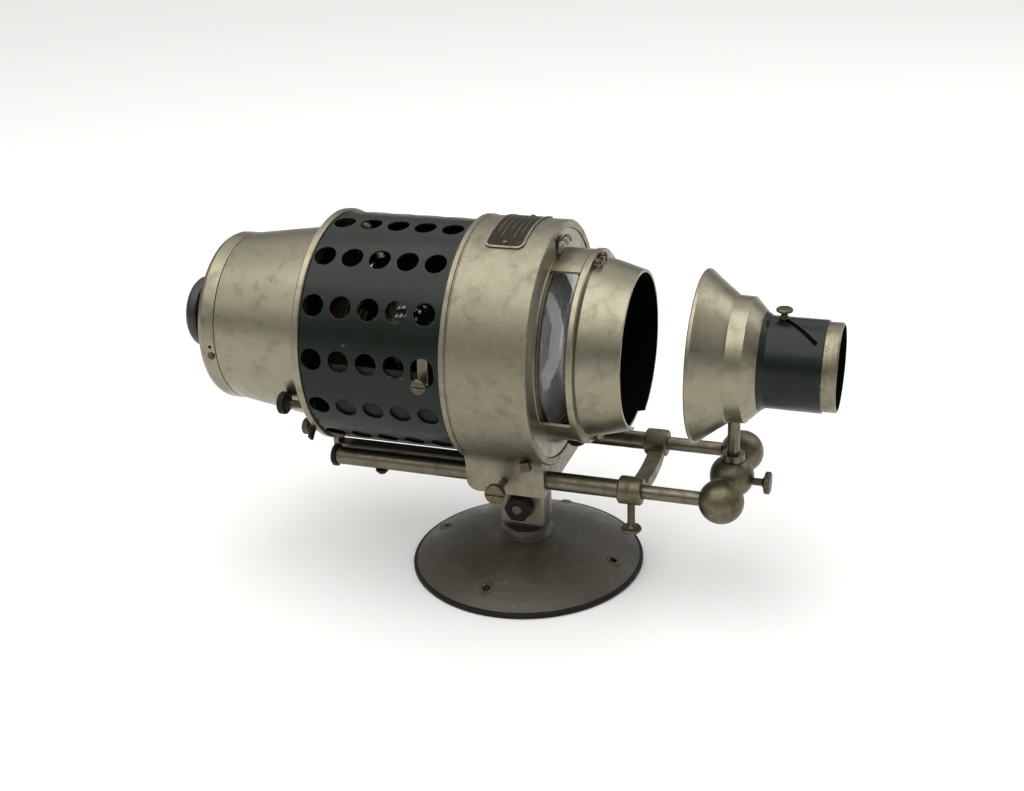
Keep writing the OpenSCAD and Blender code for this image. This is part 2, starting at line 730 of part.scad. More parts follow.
// Fingers that steady the slide carrier: one upright, two bent forwards over the strap
module carrier_spring() {
    leaf_w = 3.4;
    foot = stage_r + 0.4;
    color(NICKEL) at_clock(stage_seat + stage_foot_t + 0.02, 1) union() {
        translate([0, -1.5 * leaf_w - 0.6, foot]) cube([2, 3 * leaf_w + 1.2, 3.2]);
        for (k = [-1, 1]) translate([0, k * (leaf_w + 0.5) + leaf_w / 2, foot + 1]) rotate([90, 0, 0])
            linear_extrude(leaf_w) polygon([
                [0.6, 0], [1.5, 0], [1.6, 6.4], [2.6, 8.2], [4.2, 8.7], [5.8, 7.6], [6.9, 5.4], [7.7, 5.8],
                [6.5, 8.4], [4.4, 9.7], [2.1, 9.1], [0.7, 6.8]
            ]);
        translate([0, leaf_w / 2, foot + 1]) rotate([90, 0, 0]) linear_extrude(leaf_w)
            polygon([[0.6, 0], [1.5, 0], [1.4, 9.2], [2, 11], [1.2, 11.3], [0.5, 9.3]]);
    }
}

module stage_knob() {
    knob = 13;
    t = 5;
    color(BLACK) translate([stage_knob_x, 0, axis_z - stage_r - 9.5]) difference() {
        rotate_extrude() polygon([
            [0, 0], [knob / 2 - 1.4, 0], [knob / 2, 1.4], [knob / 2, t - 1], [knob / 2 - 1, t],
            [knob_stem_d / 2 + 1.5, t], [knob_stem_d / 2, t + 1], [knob_stem_d / 2, t + 7], [0, t + 7]
        ]);
        for (k = [0 : 17]) rotate([0, 0, k * 20])
            translate([knob / 2 + 0.35, 0, -1]) cylinder(d = 1.4, h = t + 0.5, $fn = 16);
    }
}

// ---------- clamp screws on the lamp house ----------

module rail_clamp_screw() {
    tip = rail_y + tube_r + 0.3;
    color(BRASS) translate([rail_screw_x, -tip, rail_z]) rotate([90, 0, 0]) thumb_screw(block_half - tip + 15.5, 5);
}

module lamp_screw(angle, head) {
    at_clock(can_front + lamp_screw_len - 14, angle) translate([0, 0, lamp_screw_r])
        rotate([0, -90, 0]) thumb_screw(lamp_screw_len, 5, head, false);
}

module lamp_screw_upper() { color(BLACK) lamp_screw(upper_angle, thumb_head_d + 1.6); }

module lamp_screw_lower() { color(STEEL) lamp_screw(lower_angle, thumb_head_d - 2); }

module can_latch() {
    w = 5.5;
    t = 2;
    color(BRONZE) at_clock(can_front - 0.3, latch_angle) union() {
        translate([-t, -w / 2, lamp_screw_r - 1]) cube([t, w, 14]);
        translate([0, 0, lamp_screw_r]) x_rod(w / 2 + 0.6, -t - 1, 0);
        translate([0, 0, lamp_screw_r]) x_rod(2, -t, ring_t + 2);
    }
}

// ---------- lamp carriage ----------

socket_r = 17;
socket_rear = lamp_x - 62;
socket_front = lamp_x - 32;
reflector_r = 48;
bulb_r = bulb_d / 2;

module rear_knob() {
    r = knob_d / 2;
    color(BLACK) turned([
        [lamp_tube_r - 3, knob_rear + 3], [lamp_tube_r - 3, knob_rear + 0.4], [r * 0.62, knob_rear],
        [r * 0.8, knob_rear + 0.9], [r * 0.92, knob_rear + 2.4], [r - 0.5, knob_rear + 4.2], [r, knob_rear + 6],
        [r, knob_rear + knob_len - 2], [r - 0.6, knob_rear + knob_len - 0.6], [r - 2, knob_rear + knob_len],
        [lamp_tube_r + 7, knob_rear + knob_len + 0.5], [lamp_tube_r + 5.5, knob_rear + knob_len + 6],
        [lamp_tube_r + 0.02, knob_rear + knob_len + 6], [lamp_tube_r + 0.02, knob_rear + 3]
    ]);
}

module lamp_tube() {
    color(BRASS) band(lamp_tube_r, lamp_tube_r - 1.5, knob_rear + 3.05, socket_rear + 8);
}

module lamp_socket() {
    color(BRASS) turned([
        [0, socket_rear + 8.05], [socket_r - 2, socket_rear + 8.05], [socket_r, socket_rear + 11],
        [socket_r, socket_front - 2], [socket_r + 1, socket_front - 1.4], [socket_r, socket_front],
        [socket_r - 2, socket_front], [socket_r - 2, socket_rear + 14], [0, socket_rear + 14]
    ]);
}

module lamp_base() {
    color(BRASS) turned(concat(
        [[0, socket_rear + 14.5], [8, socket_rear + 14.5], [12.6, socket_rear + 18]],
        [for (k = [0 : 4]) each [[13.6, socket_rear + 20 + 2.4 * k], [12.6, socket_rear + 21.2 + 2.4 * k]]],
        [[12.6, socket_front + 4], [11.5, socket_front + 5], [0, socket_front + 5]]
    ));
}

module lamp_bulb() {
    neck = 11;
    back = socket_front + 5.05;
    half = asin(neck / bulb_r);
    steps = 16;
    centre = back + 8 + bulb_r * cos(half);
    color(GLASS) turned(concat(
        [[0, back], [neck, back], [neck, back + 5]],
        [for (k = [0 : steps]) let (a = 180 - half - (180 - half) * k / steps)
            [bulb_r * sin(a), centre + bulb_r * cos(a)]]
    ));
}

module reflector() {
    ball = 70;
    steps = 10;
    rim_a = asin(reflector_r / ball);
    hub_a = asin((socket_r + 1.6) / ball);
    x0 = socket_front - 6;
    function dish(r, a) = [r * sin(a), x0 + ball - r * cos(a)];
    color(NICKEL) turned(concat(
        [for (k = [0 : steps]) dish(ball, hub_a + (rim_a - hub_a) * k / steps)],
        [for (k = [0 : steps]) dish(ball + 1.2, rim_a - (rim_a - hub_a) * k / steps)]
    ));
}

module reflector_bracket() {
    x0 = socket_front - 6 + 70 - 71.2 * cos(asin((socket_r + 1.6) / 70));
    color(STEEL) turned([
        [socket_r + 0.05, x0 - 8], [socket_r + 3, x0 - 8], [socket_r + 3, x0 - 2.6], [socket_r + 6, x0 - 1.6],
        [socket_r + 6, x0 - 0.4], [socket_r + 0.05, x0 - 1.2]
    ]);
}

// ---------- rails ----------

yoke_x1 = tube_front + 1.5 - collar_len;
yoke_x2 = tube_front + 1.5;
yoke_screw_x = (yoke_x1 + yoke_x2) / 2;
stop_x = tube_rear + 33;

module rail_tubes() {
    color(STEEL) difference() {
        on_rails() x_rod(tube_r, tube_rear, tube_front);
        on_rails() x_rod(tube_r - tube_wall, tube_rear + 2, tube_front + 1);
        translate([yoke_screw_x, -rail_y, 0]) cylinder(r = thumb_d / 2 + 0.3, h = rail_z);
        on_rails() translate([stop_x, 0, -tube_r - 1]) cylinder(d = 3.1, h = tube_r);
    }
}

module tube_end_caps() {
    color(BLACK) on_rails() translate([tube_rear, 0, 0]) rotate([0, -90, 0]) rotate_extrude()
        polygon([[0, 0.02], [tube_r + 1.7, 0.02], [tube_r + 1.7, 2.4], [tube_r + 0.8, 3.4], [0, 3.8]]);
}

module tube_stop_screws() {
    color(BLACK) on_rails() translate([stop_x, 0, -tube_r]) rotate([180, 0, 0])
        rotate_extrude() polygon([
            [0, -tube_wall], [1.5, -tube_wall], [1.5, 0.1], [4.6, 0.1], [4.6, 1.6], [2.6, 3.8], [0, 3.8]
        ]);
}

module rail_yoke() {
    bow = 2;
    half = rail_y - 5;
    ring = (half * half + bow * bow) / (2 * bow);
    bar_w = 10.5;
    bar_x = yoke_screw_x + 1 + bow;
    color(CASTING) difference() {
        union() {
            on_rails() translate([yoke_x1, 0, 0]) rotate([0, 90, 0]) rotate_extrude() polygon([
                [0, 0], [collar_d / 2 - 1, 0], [collar_d / 2, 1], [collar_d / 2, collar_len - 1],
                [collar_d / 2 - 1, collar_len], [0, collar_len]
            ]);
            intersection() {
                translate([bar_x - ring, 0, rail_z - 8]) difference() {
                    cylinder(r = ring + bar_w / 2, h = 7.5);
                    translate([0, 0, -1]) cylinder(r = ring - bar_w / 2, h = 10);
                }
                translate([yoke_x1 + 1, -half, rail_z - 9]) cube([2 * collar_len, 2 * half, 20]);
            }
        }
        on_rails() x_rod(tube_r + 0.03, yoke_x1 - 1, tube_front + 0.02);
        on_rails() x_rod(rod_r + run_fit, yoke_x1 - 1, yoke_x2 + 1);
        translate([yoke_screw_x, -rail_y, 0]) cylinder(r = thumb_d / 2 + run_fit, h = rail_z);
    }
}

module yoke_clamp_screw() {
    color(STEEL) translate([yoke_screw_x, -rail_y, rail_z - rod_r - 0.3]) rotate([180, 0, 0])
        thumb_screw(collar_d / 2 - rod_r + 18, 2.8);
}

// ---------- rods and balls ----------

collar_seat = 10.9;
collar_r = 7.8;

module inner_rods() {
    color(STEEL) on_rails() x_rod(rod_r, rod_rear, ball_x - ball_r + 2);
}

module end_balls() {
    color(CASTING) for (side = [-1, 1]) translate([ball_x, side * rail_y, rail_z]) difference() {
        rotate([0, -90, 0]) sphere(r = ball_r);
        x_rod(rod_r + 0.02, -ball_r - 2, -ball_r + 2.02);
        rotate([90 * side, 0, 0]) translate([0, 0, ball_r - 4]) cylinder(r = 4.02, h = ball_r);
    }
}

module cross_rods() {
    inner = post_r + 2;
    outer = rail_y - ball_r + 4;
    color(STEEL) translate([ball_x, 0, rail_z]) for (side = [-1, 1]) rotate([-90 * side, 0, 0])
        translate([0, 0, inner]) cylinder(r = 4, h = outer - inner - 0.02);
}

module centre_ball() {
    color(CASTING) translate([ball_x, 0, rail_z]) difference() {
        sphere(r = ball_r);
        translate([post_x - ball_x, 0, -ball_r - 1]) cylinder(r = post_r + run_fit, h = 2 * ball_r + 2);
        translate([post_x - ball_x, 0, collar_seat]) cylinder(r = collar_r + air, h = ball_r);
        for (side = [-1, 1]) rotate([-90 * side, 0, 0]) translate([0, 0, post_r + 1.98]) cylinder(r = 4.02, h = ball_r);
        translate([0, 0, -2.5]) rotate([0, 90, 0]) cylinder(r = thumb_d / 2 + run_fit, h = ball_r + 2);
    }
}

module ball_clamp_screw() {
    color(STEEL) translate([post_x + post_r + 0.3, 0, rail_z - 2.5]) rotate([0, 90, 0])
        thumb_screw(ball_r - post_r + 6.5, 4, 15.4);
}

// ---------- lens ----------

hood_bottom = axis_z - hood_neck_d / 2;

module post_collar() {
    color(STEEL) translate([post_x, 0, rail_z + collar_seat + air]) difference() {
        cylinder(r = collar_r, h = 6);
        translate([0, 0, -1]) cylinder(r = post_r + run_fit, h = 8);
    }
}

module lens_post() {
    color(STEEL) translate([post_x, 0, rail_z - ball_r + 1]) union() {
        cylinder(r = post_r, h = hood_bottom - rail_z + ball_r + 3);
        translate([0, 0, hood_bottom - rail_z + ball_r - 3]) cylinder(r1 = post_r, r2 = post_r + 1.4, h = 3);
    }
}

module lens_hood() {
    rim = hood_d / 2;
    neck = hood_neck_d / 2;
    w = hood_wall;
    color(NICKEL) difference() {
        turned([
            [rim - w, hood_rear], [rim - 0.6, hood_rear], [rim, hood_rear + 0.8], [rim - 0.3, hood_rear + 2.6],
            [neck + 12.5, hood_rear + 6], [neck + 6.6, neck_rear - 8.5], [neck + 1.2, neck_rear - 1.2],
            [neck, neck_rear], [neck - 0.3, neck_front - 0.6], [neck - 1, neck_front],
            [focus_r + 2.9, hood_front], [focus_r + 0.05, hood_front], [focus_r + 0.05, neck_front - 1],
            [neck - w - 0.6, neck_front - 2.5], [neck - w, neck_rear],
            [neck + 5 - w, neck_rear - 8.5], [neck + 11 - w, hood_rear + 6]
        ]);
        translate([post_x, 0, hood_bottom - 5]) cylinder(r = post_r + 0.02, h = 8);
        translate([post_x, 0, hood_bottom - 6]) cylinder(r = post_r + 1.45, h = 6.05);
    }
}

slot_first = -4;
slot_last = 360 * focus_travel / focus_lead + 4;

// Cuts for the helical slot: overlapping round holes along the helix
module helix_slot() {
    steps = 34;
    for (k = [0 : steps]) let (a = slot_first + (slot_last - slot_first) * k / steps)
        at_clock(focus_screw_x + focus_lead * a / 360, a)
            translate([0, 0, focus_in - 2]) cylinder(d = focus_screw_d + 0.5, h = focus_wall + 4, $fn = 24);
}

module focus_tube() {
    color(ENAMEL) difference() {
        turned([
            [focus_in, neck_front - 4], [focus_r, neck_front - 4], [focus_r, hood_front + 0.02],
            [focus_r + 2.7, hood_front + 0.02], [focus_r, hood_front + 4],
            [focus_r, focus_front - 0.5], [focus_r - 0.5, focus_front], [focus_in, focus_front]
        ]);
        helix_slot();
    }
}

barrel_rear = neck_front - 12;
front_lens_at = barrel_front - 9;
rear_lens_at = barrel_rear + 6;
lens_r = barrel_r - barrel_wall - 0.3;

// A lens domed on both sides, centred on x
module biconvex(x, r, edge, bulge) {
    ball = (r * r + bulge * bulge) / (2 * bulge);
    half = asin(r / ball);
    steps = 10;
    turned(concat(
        [for (k = [0 : steps]) let (a = half * k / steps)
            [ball * sin(a), x - edge / 2 - bulge + ball * (1 - cos(a))]],
        [for (k = [0 : steps]) let (a = half * (1 - k / steps))
            [ball * sin(a), x + edge / 2 + bulge - ball * (1 - cos(a))]]
    ));
}

module front_lens() { color(GLASS) biconvex(front_lens_at, lens_r, 3, 3.2); }

module rear_lens() { color(GLASS) biconvex(rear_lens_at, lens_r, 3, 2.6); }

module lens_barrel() {
    color(NICKEL) difference() {
        turned([
            [barrel_r - barrel_wall, barrel_rear], [barrel_r, barrel_rear], [barrel_r, barrel_front - 1],
            [barrel_r - 0.6, barrel_front], [barrel_r - barrel_wall, barrel_front]
        ]);
        at_clock(focus_screw_x, 0) translate([0, 0, barrel_r - 4]) cylinder(d = focus_screw_d - 0.4, h = 8);
    }
}

module lens_rings() {
    r = barrel_r - barrel_wall - 0.02;
    color(BLACK) union() {
        for (x = [front_lens_at, rear_lens_at]) for (side = [-1, 1])
            translate([side * 3.4, 0, 0]) band(r, r - 2, x - 1.4, x + 1.4);
    }
}

module focus_screw() {
    d = focus_screw_d;
    color(STEEL) at_clock(focus_screw_x, 0) translate([0, 0, barrel_r - 2.6]) rotate_extrude() polygon([
        [0, 0], [d / 2 - 0.22, 0], [d / 2 - 0.22, 2.7], [d / 2, 2.9], [d / 2, 4.2], [3.4, 4.4], [3.4, 5.2],
        [2.3, 6.2], [2.1, 7.4], [3.6, 8.7], [5.2, 9.2], [5.4, 10.4], [4.6, 11.2], [0, 11.6]
    ]);
}

// ---------- assembly ----------

base_plate();
base_rim();
tilt_post();
post_screws();
front_casting();
tilt_bolt();
tilt_washers();
tilt_nut();
name_plate();
plate_screws();
vent_sleeve();
rear_ring();
heat_shield();
rear_can();
rear_cap();
cap_screws();
brace_bars();
condenser_cell();
rear_condenser();
condenser_spacer();
front_condenser();
condenser_ring();
cell_set_screw();
clamp_strap();
slide_stage();
stage_screws();
carrier_spring();
rail_clamp_screw();
stage_knob();
cell_clamp_screw();
lamp_screw_upper();
lamp_screw_lower();
can_latch();
rear_knob();
lamp_tube();
lamp_socket();
lamp_base();
lamp_bulb();
reflector();
reflector_bracket();
rail_tubes();
tube_end_caps();
tube_stop_screws();
rail_yoke();
yoke_clamp_screw();
inner_rods();
end_balls();
cross_rods();
centre_ball();
ball_clamp_screw();
post_collar();
lens_post();
lens_hood();
focus_tube();
front_lens();
rear_lens();
lens_barrel();
lens_rings();
focus_screw();
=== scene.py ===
"""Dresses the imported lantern-slide projector: finishes, fine detail, studio and camera."""

import logging
import math
from collections.abc import Sequence
from dataclasses import dataclass, replace
from enum import Enum

import bmesh
import bpy
from mathutils import Matrix, Vector


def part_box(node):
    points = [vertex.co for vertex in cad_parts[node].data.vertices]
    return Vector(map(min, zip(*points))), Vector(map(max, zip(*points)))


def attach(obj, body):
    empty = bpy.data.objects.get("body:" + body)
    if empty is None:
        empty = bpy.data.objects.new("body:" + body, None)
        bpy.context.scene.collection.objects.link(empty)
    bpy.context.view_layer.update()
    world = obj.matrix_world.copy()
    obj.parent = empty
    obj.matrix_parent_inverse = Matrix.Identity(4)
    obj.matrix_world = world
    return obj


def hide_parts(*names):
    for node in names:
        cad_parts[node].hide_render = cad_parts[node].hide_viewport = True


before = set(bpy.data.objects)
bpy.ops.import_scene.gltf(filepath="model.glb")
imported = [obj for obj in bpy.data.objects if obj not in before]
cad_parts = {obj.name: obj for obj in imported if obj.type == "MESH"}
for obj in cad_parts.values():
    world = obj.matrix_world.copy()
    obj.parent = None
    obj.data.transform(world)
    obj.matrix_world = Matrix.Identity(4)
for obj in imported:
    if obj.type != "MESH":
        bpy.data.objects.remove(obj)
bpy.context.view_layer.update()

logging.basicConfig(level=logging.INFO, format="%(message)s")
log = logging.getLogger("lantern")

MM = 0.001
AXIS_Z = 0.172
CRISP_ANGLE = math.radians(35)
FORWARD = Vector((1, 0, 0))
TREE = bpy.types.ShaderNodeTree
Socket = bpy.types.NodeSocket


def linear(code: str) -> tuple[float, float, float, float]:
    """Turns an sRGB hex colour into Blender's linear colour.

    Args:
        code: Six hex digits, such as "8a857a".

    Returns:
        Red, green, blue and alpha, linear.
    """
    parts = [int(code[k : k + 2], 16) / 255 for k in (0, 2, 4)]
    bent = [c / 12.92 if c <= 0.04045 else ((c + 0.055) / 1.055) ** 2.4 for c in parts]
    return (*bent, 1.0)


def set_input(tree: TREE, node: bpy.types.Node, key: str | int, value: object) -> None:
    """Feeds an input from a socket, or sets it to a value.

    Args:
        tree: The material's node tree.
        node: The node.
        key: The input's name or number.
        value: The socket or the value.
    """
    if isinstance(value, Socket):
        tree.links.new(value, node.inputs[key])
    else:
        node.inputs[key].default_value = value


def add_node(
    tree: TREE, kind: str, links: dict[str | int, object] | None = None, **settings: object
) -> bpy.types.Node:
    """Adds a shader node with its settings and its inputs.

    Args:
        tree: The material's node tree.
        kind: The node's type name without the ShaderNode prefix.
        links: Input name or number to a value, or to the socket that feeds it.
        **settings: Attributes of the node itself.

    Returns:
        The new node.
    """
    node = tree.nodes.new("ShaderNode" + kind)
    for key, value in settings.items():
        setattr(node, key, value)
    for key, value in (links or {}).items():
        set_input(tree, node, key, value)
    return node


def per_mm(size_mm: float) -> float:
    """Gives the noise scale whose features are about this many millimetres across."""
    return 1.0 / (size_mm * MM)


def ramp(tree: TREE, fac: Socket, low: float, high: float, to_low: float = 0.0, to_high: float = 1.0) -> Socket:
    """Maps a value smoothly from one range to another, clamped.

    Args:
        tree: The material's node tree.
        fac: The value.
        low: Where the result starts to change.
        high: Where it stops changing.
        to_low: The result below low.
        to_high: The result above high.

    Returns:
        The mapped value.
    """
    node = add_node(
        tree,
        "MapRange",
        {0: fac, 1: low, 2: high, 3: to_low, 4: to_high},
        interpolation_type="SMOOTHSTEP",
    )
    return node.outputs[0]


def blend_colour(tree: TREE, fac: Socket | float, a: Socket | tuple, b: Socket | tuple) -> Socket:
    """Mixes two colours.

    Args:
        tree: The material's node tree.
        fac: How much of the second colour shows.
        a: The first colour.
        b: The second colour.

    Returns:
        The mixed colour.
    """
    node = add_node(tree, "Mix", {0: fac, 6: a, 7: b}, data_type="RGBA")
    return node.outputs[2]


def calc(tree: TREE, kind: str, a: Socket | float, b: Socket | float = 0.0) -> Socket:
    """Does one step of arithmetic on two values."""
    return add_node(tree, "Math", {0: a, 1: b}, operation=kind).outputs[0]


class Lay(Enum):
    """Which way the fine tool marks run on a metal."""

    NONE = (1.0, 1.0, 1.0)
    ROUND_X = (60.0, 1.0, 1.0)
    ALONG_X = (1.0, 40.0, 40.0)


def object_place(tree: TREE) -> Socket:
    """Gives the shaded point's place on its own object, in metres."""
    return add_node(tree, "TexCoord").outputs["Object"]


def axis_offset(tree: TREE) -> Socket:
    """Gives the vector from the optical axis to the shaded point, square to the axis."""
    parts = add_node(tree, "SeparateXYZ", {0: object_place(tree)})
    up = calc(tree, "SUBTRACT", parts.outputs["Z"], AXIS_Z)
    return add_node(tree, "CombineXYZ", {0: 0.0, 1: parts.outputs["Y"], 2: up}).outputs[0]


def inside_mask(tree: TREE) -> Socket:
    """Finds the faces that look towards the optical axis, such as the inside of a tube.

    Args:
        tree: The material's node tree.

    Returns:
        One on inner walls and nought elsewhere.
    """
    normal = add_node(tree, "TexCoord").outputs["Normal"]
    dot = add_node(tree, "VectorMath", {0: axis_offset(tree), 1: normal}, operation="DOT_PRODUCT")
    return ramp(tree, dot.outputs["Value"], -0.004, -0.012)


@dataclass(frozen=True)
class MetalFinish:
    """A bare, plated or painted metal with stains, pits, tool marks and rubbed edges.

    Colours are sRGB hex and sizes are millimetres.
    """

    name: str
    base: str
    stain: str
    rubbed: str
    stain_mm: float = 22.0
    stain_share: float = 0.55
    grain_mm: float = 0.8
    grain_depth: float = 0.03
    marks: Lay = Lay.NONE
    mark_mm: float = 9.0
    mark_depth: float = 0.01
    rough: tuple[float, float] = (0.35, 0.6)
    metallic: float = 1.0
    rubbed_metallic: float = 1.0
    edge_mm: float = 0.7
    edge_wear: float = 0.6
    specks: str | None = None
    speck_mm: float = 1.6
    speck_share: float = 0.1
    scratch_mm: float = 14.0
    scratch_share: float = 0.35
    specular: float = 0.5
    # Black for the inner walls, and for the painted shade on the part that slides out of sight.
    lining_and_shade: str | None = None
    field_radius: float | None = None
    # Painted shade: black from this place back along the axis, where the part slides out of sight into another tube.
    shaded_behind: float | None = None
    shade_fade: float = 0.5
    field: str = "2b2822"
    lining_and_shade_rough: float = 0.85
    lining_and_shade_dull: float = 0.9

    def noise(
        self, tree: TREE, size_mm: float, detail: float = 5.0, rough: float = 0.62, warp: float = 0.0
    ) -> Socket:
        """Makes noise whose features are about a real size across.

        Args:
            tree: The material's node tree.
            size_mm: Size of a feature.
            detail: How many finer layers it has.
            rough: How strong those are.
            warp: How far the pattern folds over itself.

        Returns:
            The noise, from 0 to 1.
        """
        sockets = {"Vector": object_place(tree), "Scale": per_mm(size_mm), "Detail": detail}
        sockets |= {"Roughness": rough, "Distortion": warp}
        return add_node(tree, "TexNoise", sockets).outputs["Fac"]

    def edge_mask(self, tree: TREE) -> tuple[Socket, Socket]:
        """Finds the edges that handling has rubbed.

        Args:
            tree: The material's node tree.

        Returns:
            The wear from 0 to 1, and the softened normal.
        """
        soft = add_node(tree, "Bevel", {"Radius": self.edge_mm * MM}, samples=6)
        true = add_node(tree, "NewGeometry")
        dot = add_node(
            tree,
            "VectorMath",
            {0: soft.outputs[0], 1: true.outputs["Normal"]},
            operation="DOT_PRODUCT",
        )
        near = ramp(tree, dot.outputs["Value"], 0.999, 0.86)
        patchy = self.noise(tree, self.edge_mm * 5, rough=0.7)
        worn = ramp(tree, patchy, 0.62 - 0.3 * self.edge_wear, 0.78 - 0.3 * self.edge_wear)
        return calc(tree, "MULTIPLY", near, worn), soft.outputs[0]

    def scratches(self, tree: TREE) -> Socket:
        """Draws thin wandering hairlines, in patches.

        Args:
            tree: The material's node tree.

        Returns:
            One on a scratch and nought elsewhere.
        """
        folds = self.noise(tree, self.scratch_mm, detail=2.0, rough=0.4, warp=1.2)
        ridge = calc(tree, "ABSOLUTE", calc(tree, "SUBTRACT", folds, 0.5))
        line = ramp(tree, ridge, 0.006, 0.0)
        some = ramp(tree, self.noise(tree, self.scratch_mm * 0.7), 0.62 - 0.2 * self.scratch_share, 0.7)
        return calc(tree, "MULTIPLY", line, some)

    def tool_marks(self, tree: TREE) -> Socket:
        """Stretches noise the way that the tool ran."""
        sockets = {"Vector": object_place(tree), "Scale": self.marks.value}
        stretched = add_node(tree, "Mapping", sockets).outputs[0]
        sockets = {"Vector": stretched, "Scale": per_mm(self.mark_mm), "Detail": 6.0, "Roughness": 0.7}
        return add_node(tree, "TexNoise", sockets).outputs["Fac"]

    def tint(self, tree: TREE, grain: Socket, stains: Socket, wear: Socket) -> Socket:
        """Lays the colours over each other: base, grain, stains, scratches, rubbed edges and specks.

        Args:
            tree: The material's node tree.
            grain: Fine noise.
            stains: Coarse noise.
            wear: Where the edges are rubbed.

        Returns:
            The colour.
        """
        base, stain, rubbed = linear(self.base), linear(self.stain), linear(self.rubbed)
        colour = blend_colour(tree, ramp(tree, grain, 0.35, 0.75, 0.0, 0.35), base, stain)
        if self.field_radius:
            length = add_node(tree, "VectorMath", {0: axis_offset(tree)}, operation="LENGTH").outputs["Value"]
            sunk = ramp(tree, length, (self.field_radius + 0.15) * MM, (self.field_radius - 0.05) * MM)
            colour = blend_colour(tree, sunk, colour, linear(self.field))
        middle = 1.0 - self.stain_share
        cover = ramp(tree, stains, 0.28 + 0.3 * middle, 0.56 + 0.3 * middle, 0.0, 0.6)
        colour = blend_colour(tree, cover, colour, stain)
        drips = ramp(tree, self.noise(tree, self.stain_mm * 0.22, rough=0.75), 0.6, 0.72, 0.0, 0.45)
        colour = blend_colour(tree, drips, colour, stain)
        if self.marks is not Lay.NONE:
            streak = ramp(tree, self.tool_marks(tree), 0.52, 0.75, 0.0, 0.3)
            colour = blend_colour(tree, streak, colour, rubbed)
        hairlines = calc(tree, "MULTIPLY", self.scratches(tree), 0.6)
        colour = blend_colour(tree, calc(tree, "MAXIMUM", wear, hairlines), colour, rubbed)
        if self.specks:
            colour = blend_colour(tree, self.speckle(tree, stains), colour, linear(self.specks))
        return colour

    def speckle(self, tree: TREE, stains: Socket) -> Socket:
        """Scatters small round spots where the stains are thick.

        Args:
            tree: The material's node tree.
            stains: Coarse noise.

        Returns:
            One on a spot and nought elsewhere.
        """
        sockets = {"Vector": object_place(tree), "Scale": per_mm(self.speck_mm), "Randomness": 1.0}
        dots = add_node(tree, "TexVoronoi", sockets, feature="F1").outputs["Distance"]
        near = ramp(tree, dots, 0.18, 0.08)
        some = ramp(tree, stains, 0.62 - self.speck_share, 0.66)
        return calc(tree, "MULTIPLY", near, some)

    def lining_and_shade_mask(self, tree: TREE) -> Socket:
        """Finds what the black covers: the matt black inner walls, and painted shade on the part that slides out of
        sight.

        Args:
            tree: The material's node tree.

        Returns:
            One on the black inner walls and on the painted shade, and nought elsewhere.
        """
        inner = inside_mask(tree)
        if not self.shaded_behind:
            return inner
        place = add_node(tree, "SeparateXYZ", {0: object_place(tree)}).outputs["X"]
        # Painted shade: black behind this place along the axis.
        behind = ramp(tree, place, self.shaded_behind * MM, (self.shaded_behind - self.shade_fade) * MM)
        return calc(tree, "MAXIMUM", inner, behind)

    def relief(self, tree: TREE, grain: Socket, soft: Socket) -> Socket:
        """Raises the grain and the tool marks on the softened surface.

        Args:
            tree: The material's node tree.
            grain: Fine noise.
            soft: The normal with its edges rounded.

        Returns:
            The normal.
        """
        sockets = {"Height": grain, "Distance": self.grain_depth * MM, "Strength": 1.0, "Normal": soft}
        bumps = add_node(tree, "Bump", sockets).outputs[0]
        if self.marks is Lay.NONE:
            return bumps
        sockets = {"Height": self.tool_marks(tree), "Distance": self.mark_depth * MM, "Strength": 1.0}
        return add_node(tree, "Bump", sockets | {"Normal": bumps}).outputs[0]

    def build(self) -> bpy.types.Material:
        """Makes the material.

        Returns:
            The finished material.
        """
        mat = bpy.data.materials.new(self.name)
        mat.use_nodes = True
        tree = mat.node_tree
        shader = tree.nodes["Principled BSDF"]
        stains = self.noise(tree, self.stain_mm, detail=8.0, warp=0.4)
        grain = self.noise(tree, self.grain_mm, detail=4.0, rough=0.6)
        wear, soft = self.edge_mask(tree)
        colour = self.tint(tree, grain, stains, wear)
        roughness = ramp(tree, stains, 0.3, 0.7, *self.rough)
        metallic: Socket | float = self.metallic
        specular: Socket | float = self.specular
        if self.metallic != self.rubbed_metallic:
            metallic = ramp(tree, wear, 0.3, 0.7, self.metallic, self.rubbed_metallic)
        # Black on inner walls, and painted shade on the part that slides out of sight.
        if self.lining_and_shade:
            lined_and_shaded = self.lining_and_shade_mask(tree)
            colour = blend_colour(tree, lined_and_shaded, colour, linear(self.lining_and_shade))
            roughness = calc(tree, "MAXIMUM", roughness, calc(tree, "MULTIPLY", lined_and_shaded, self.lining_and_shade_rough))
            metallic = calc(tree, "SUBTRACT", self.metallic, calc(tree, "MULTIPLY", lined_and_shaded, self.metallic))
            dulling = calc(tree, "MULTIPLY", lined_and_shaded, self.specular * self.lining_and_shade_dull)
            specular = calc(tree, "SUBTRACT", self.specular, dulling)
        set_input(tree, shader, "Base Color", colour)
        set_input(tree, shader, "Roughness", roughness)
        set_input(tree, shader, "Metallic", metallic)
        set_input(tree, shader, "Specular IOR Level", specular)
        set_input(tree, shader, "Normal", self.relief(tree, grain, soft))
        return mat


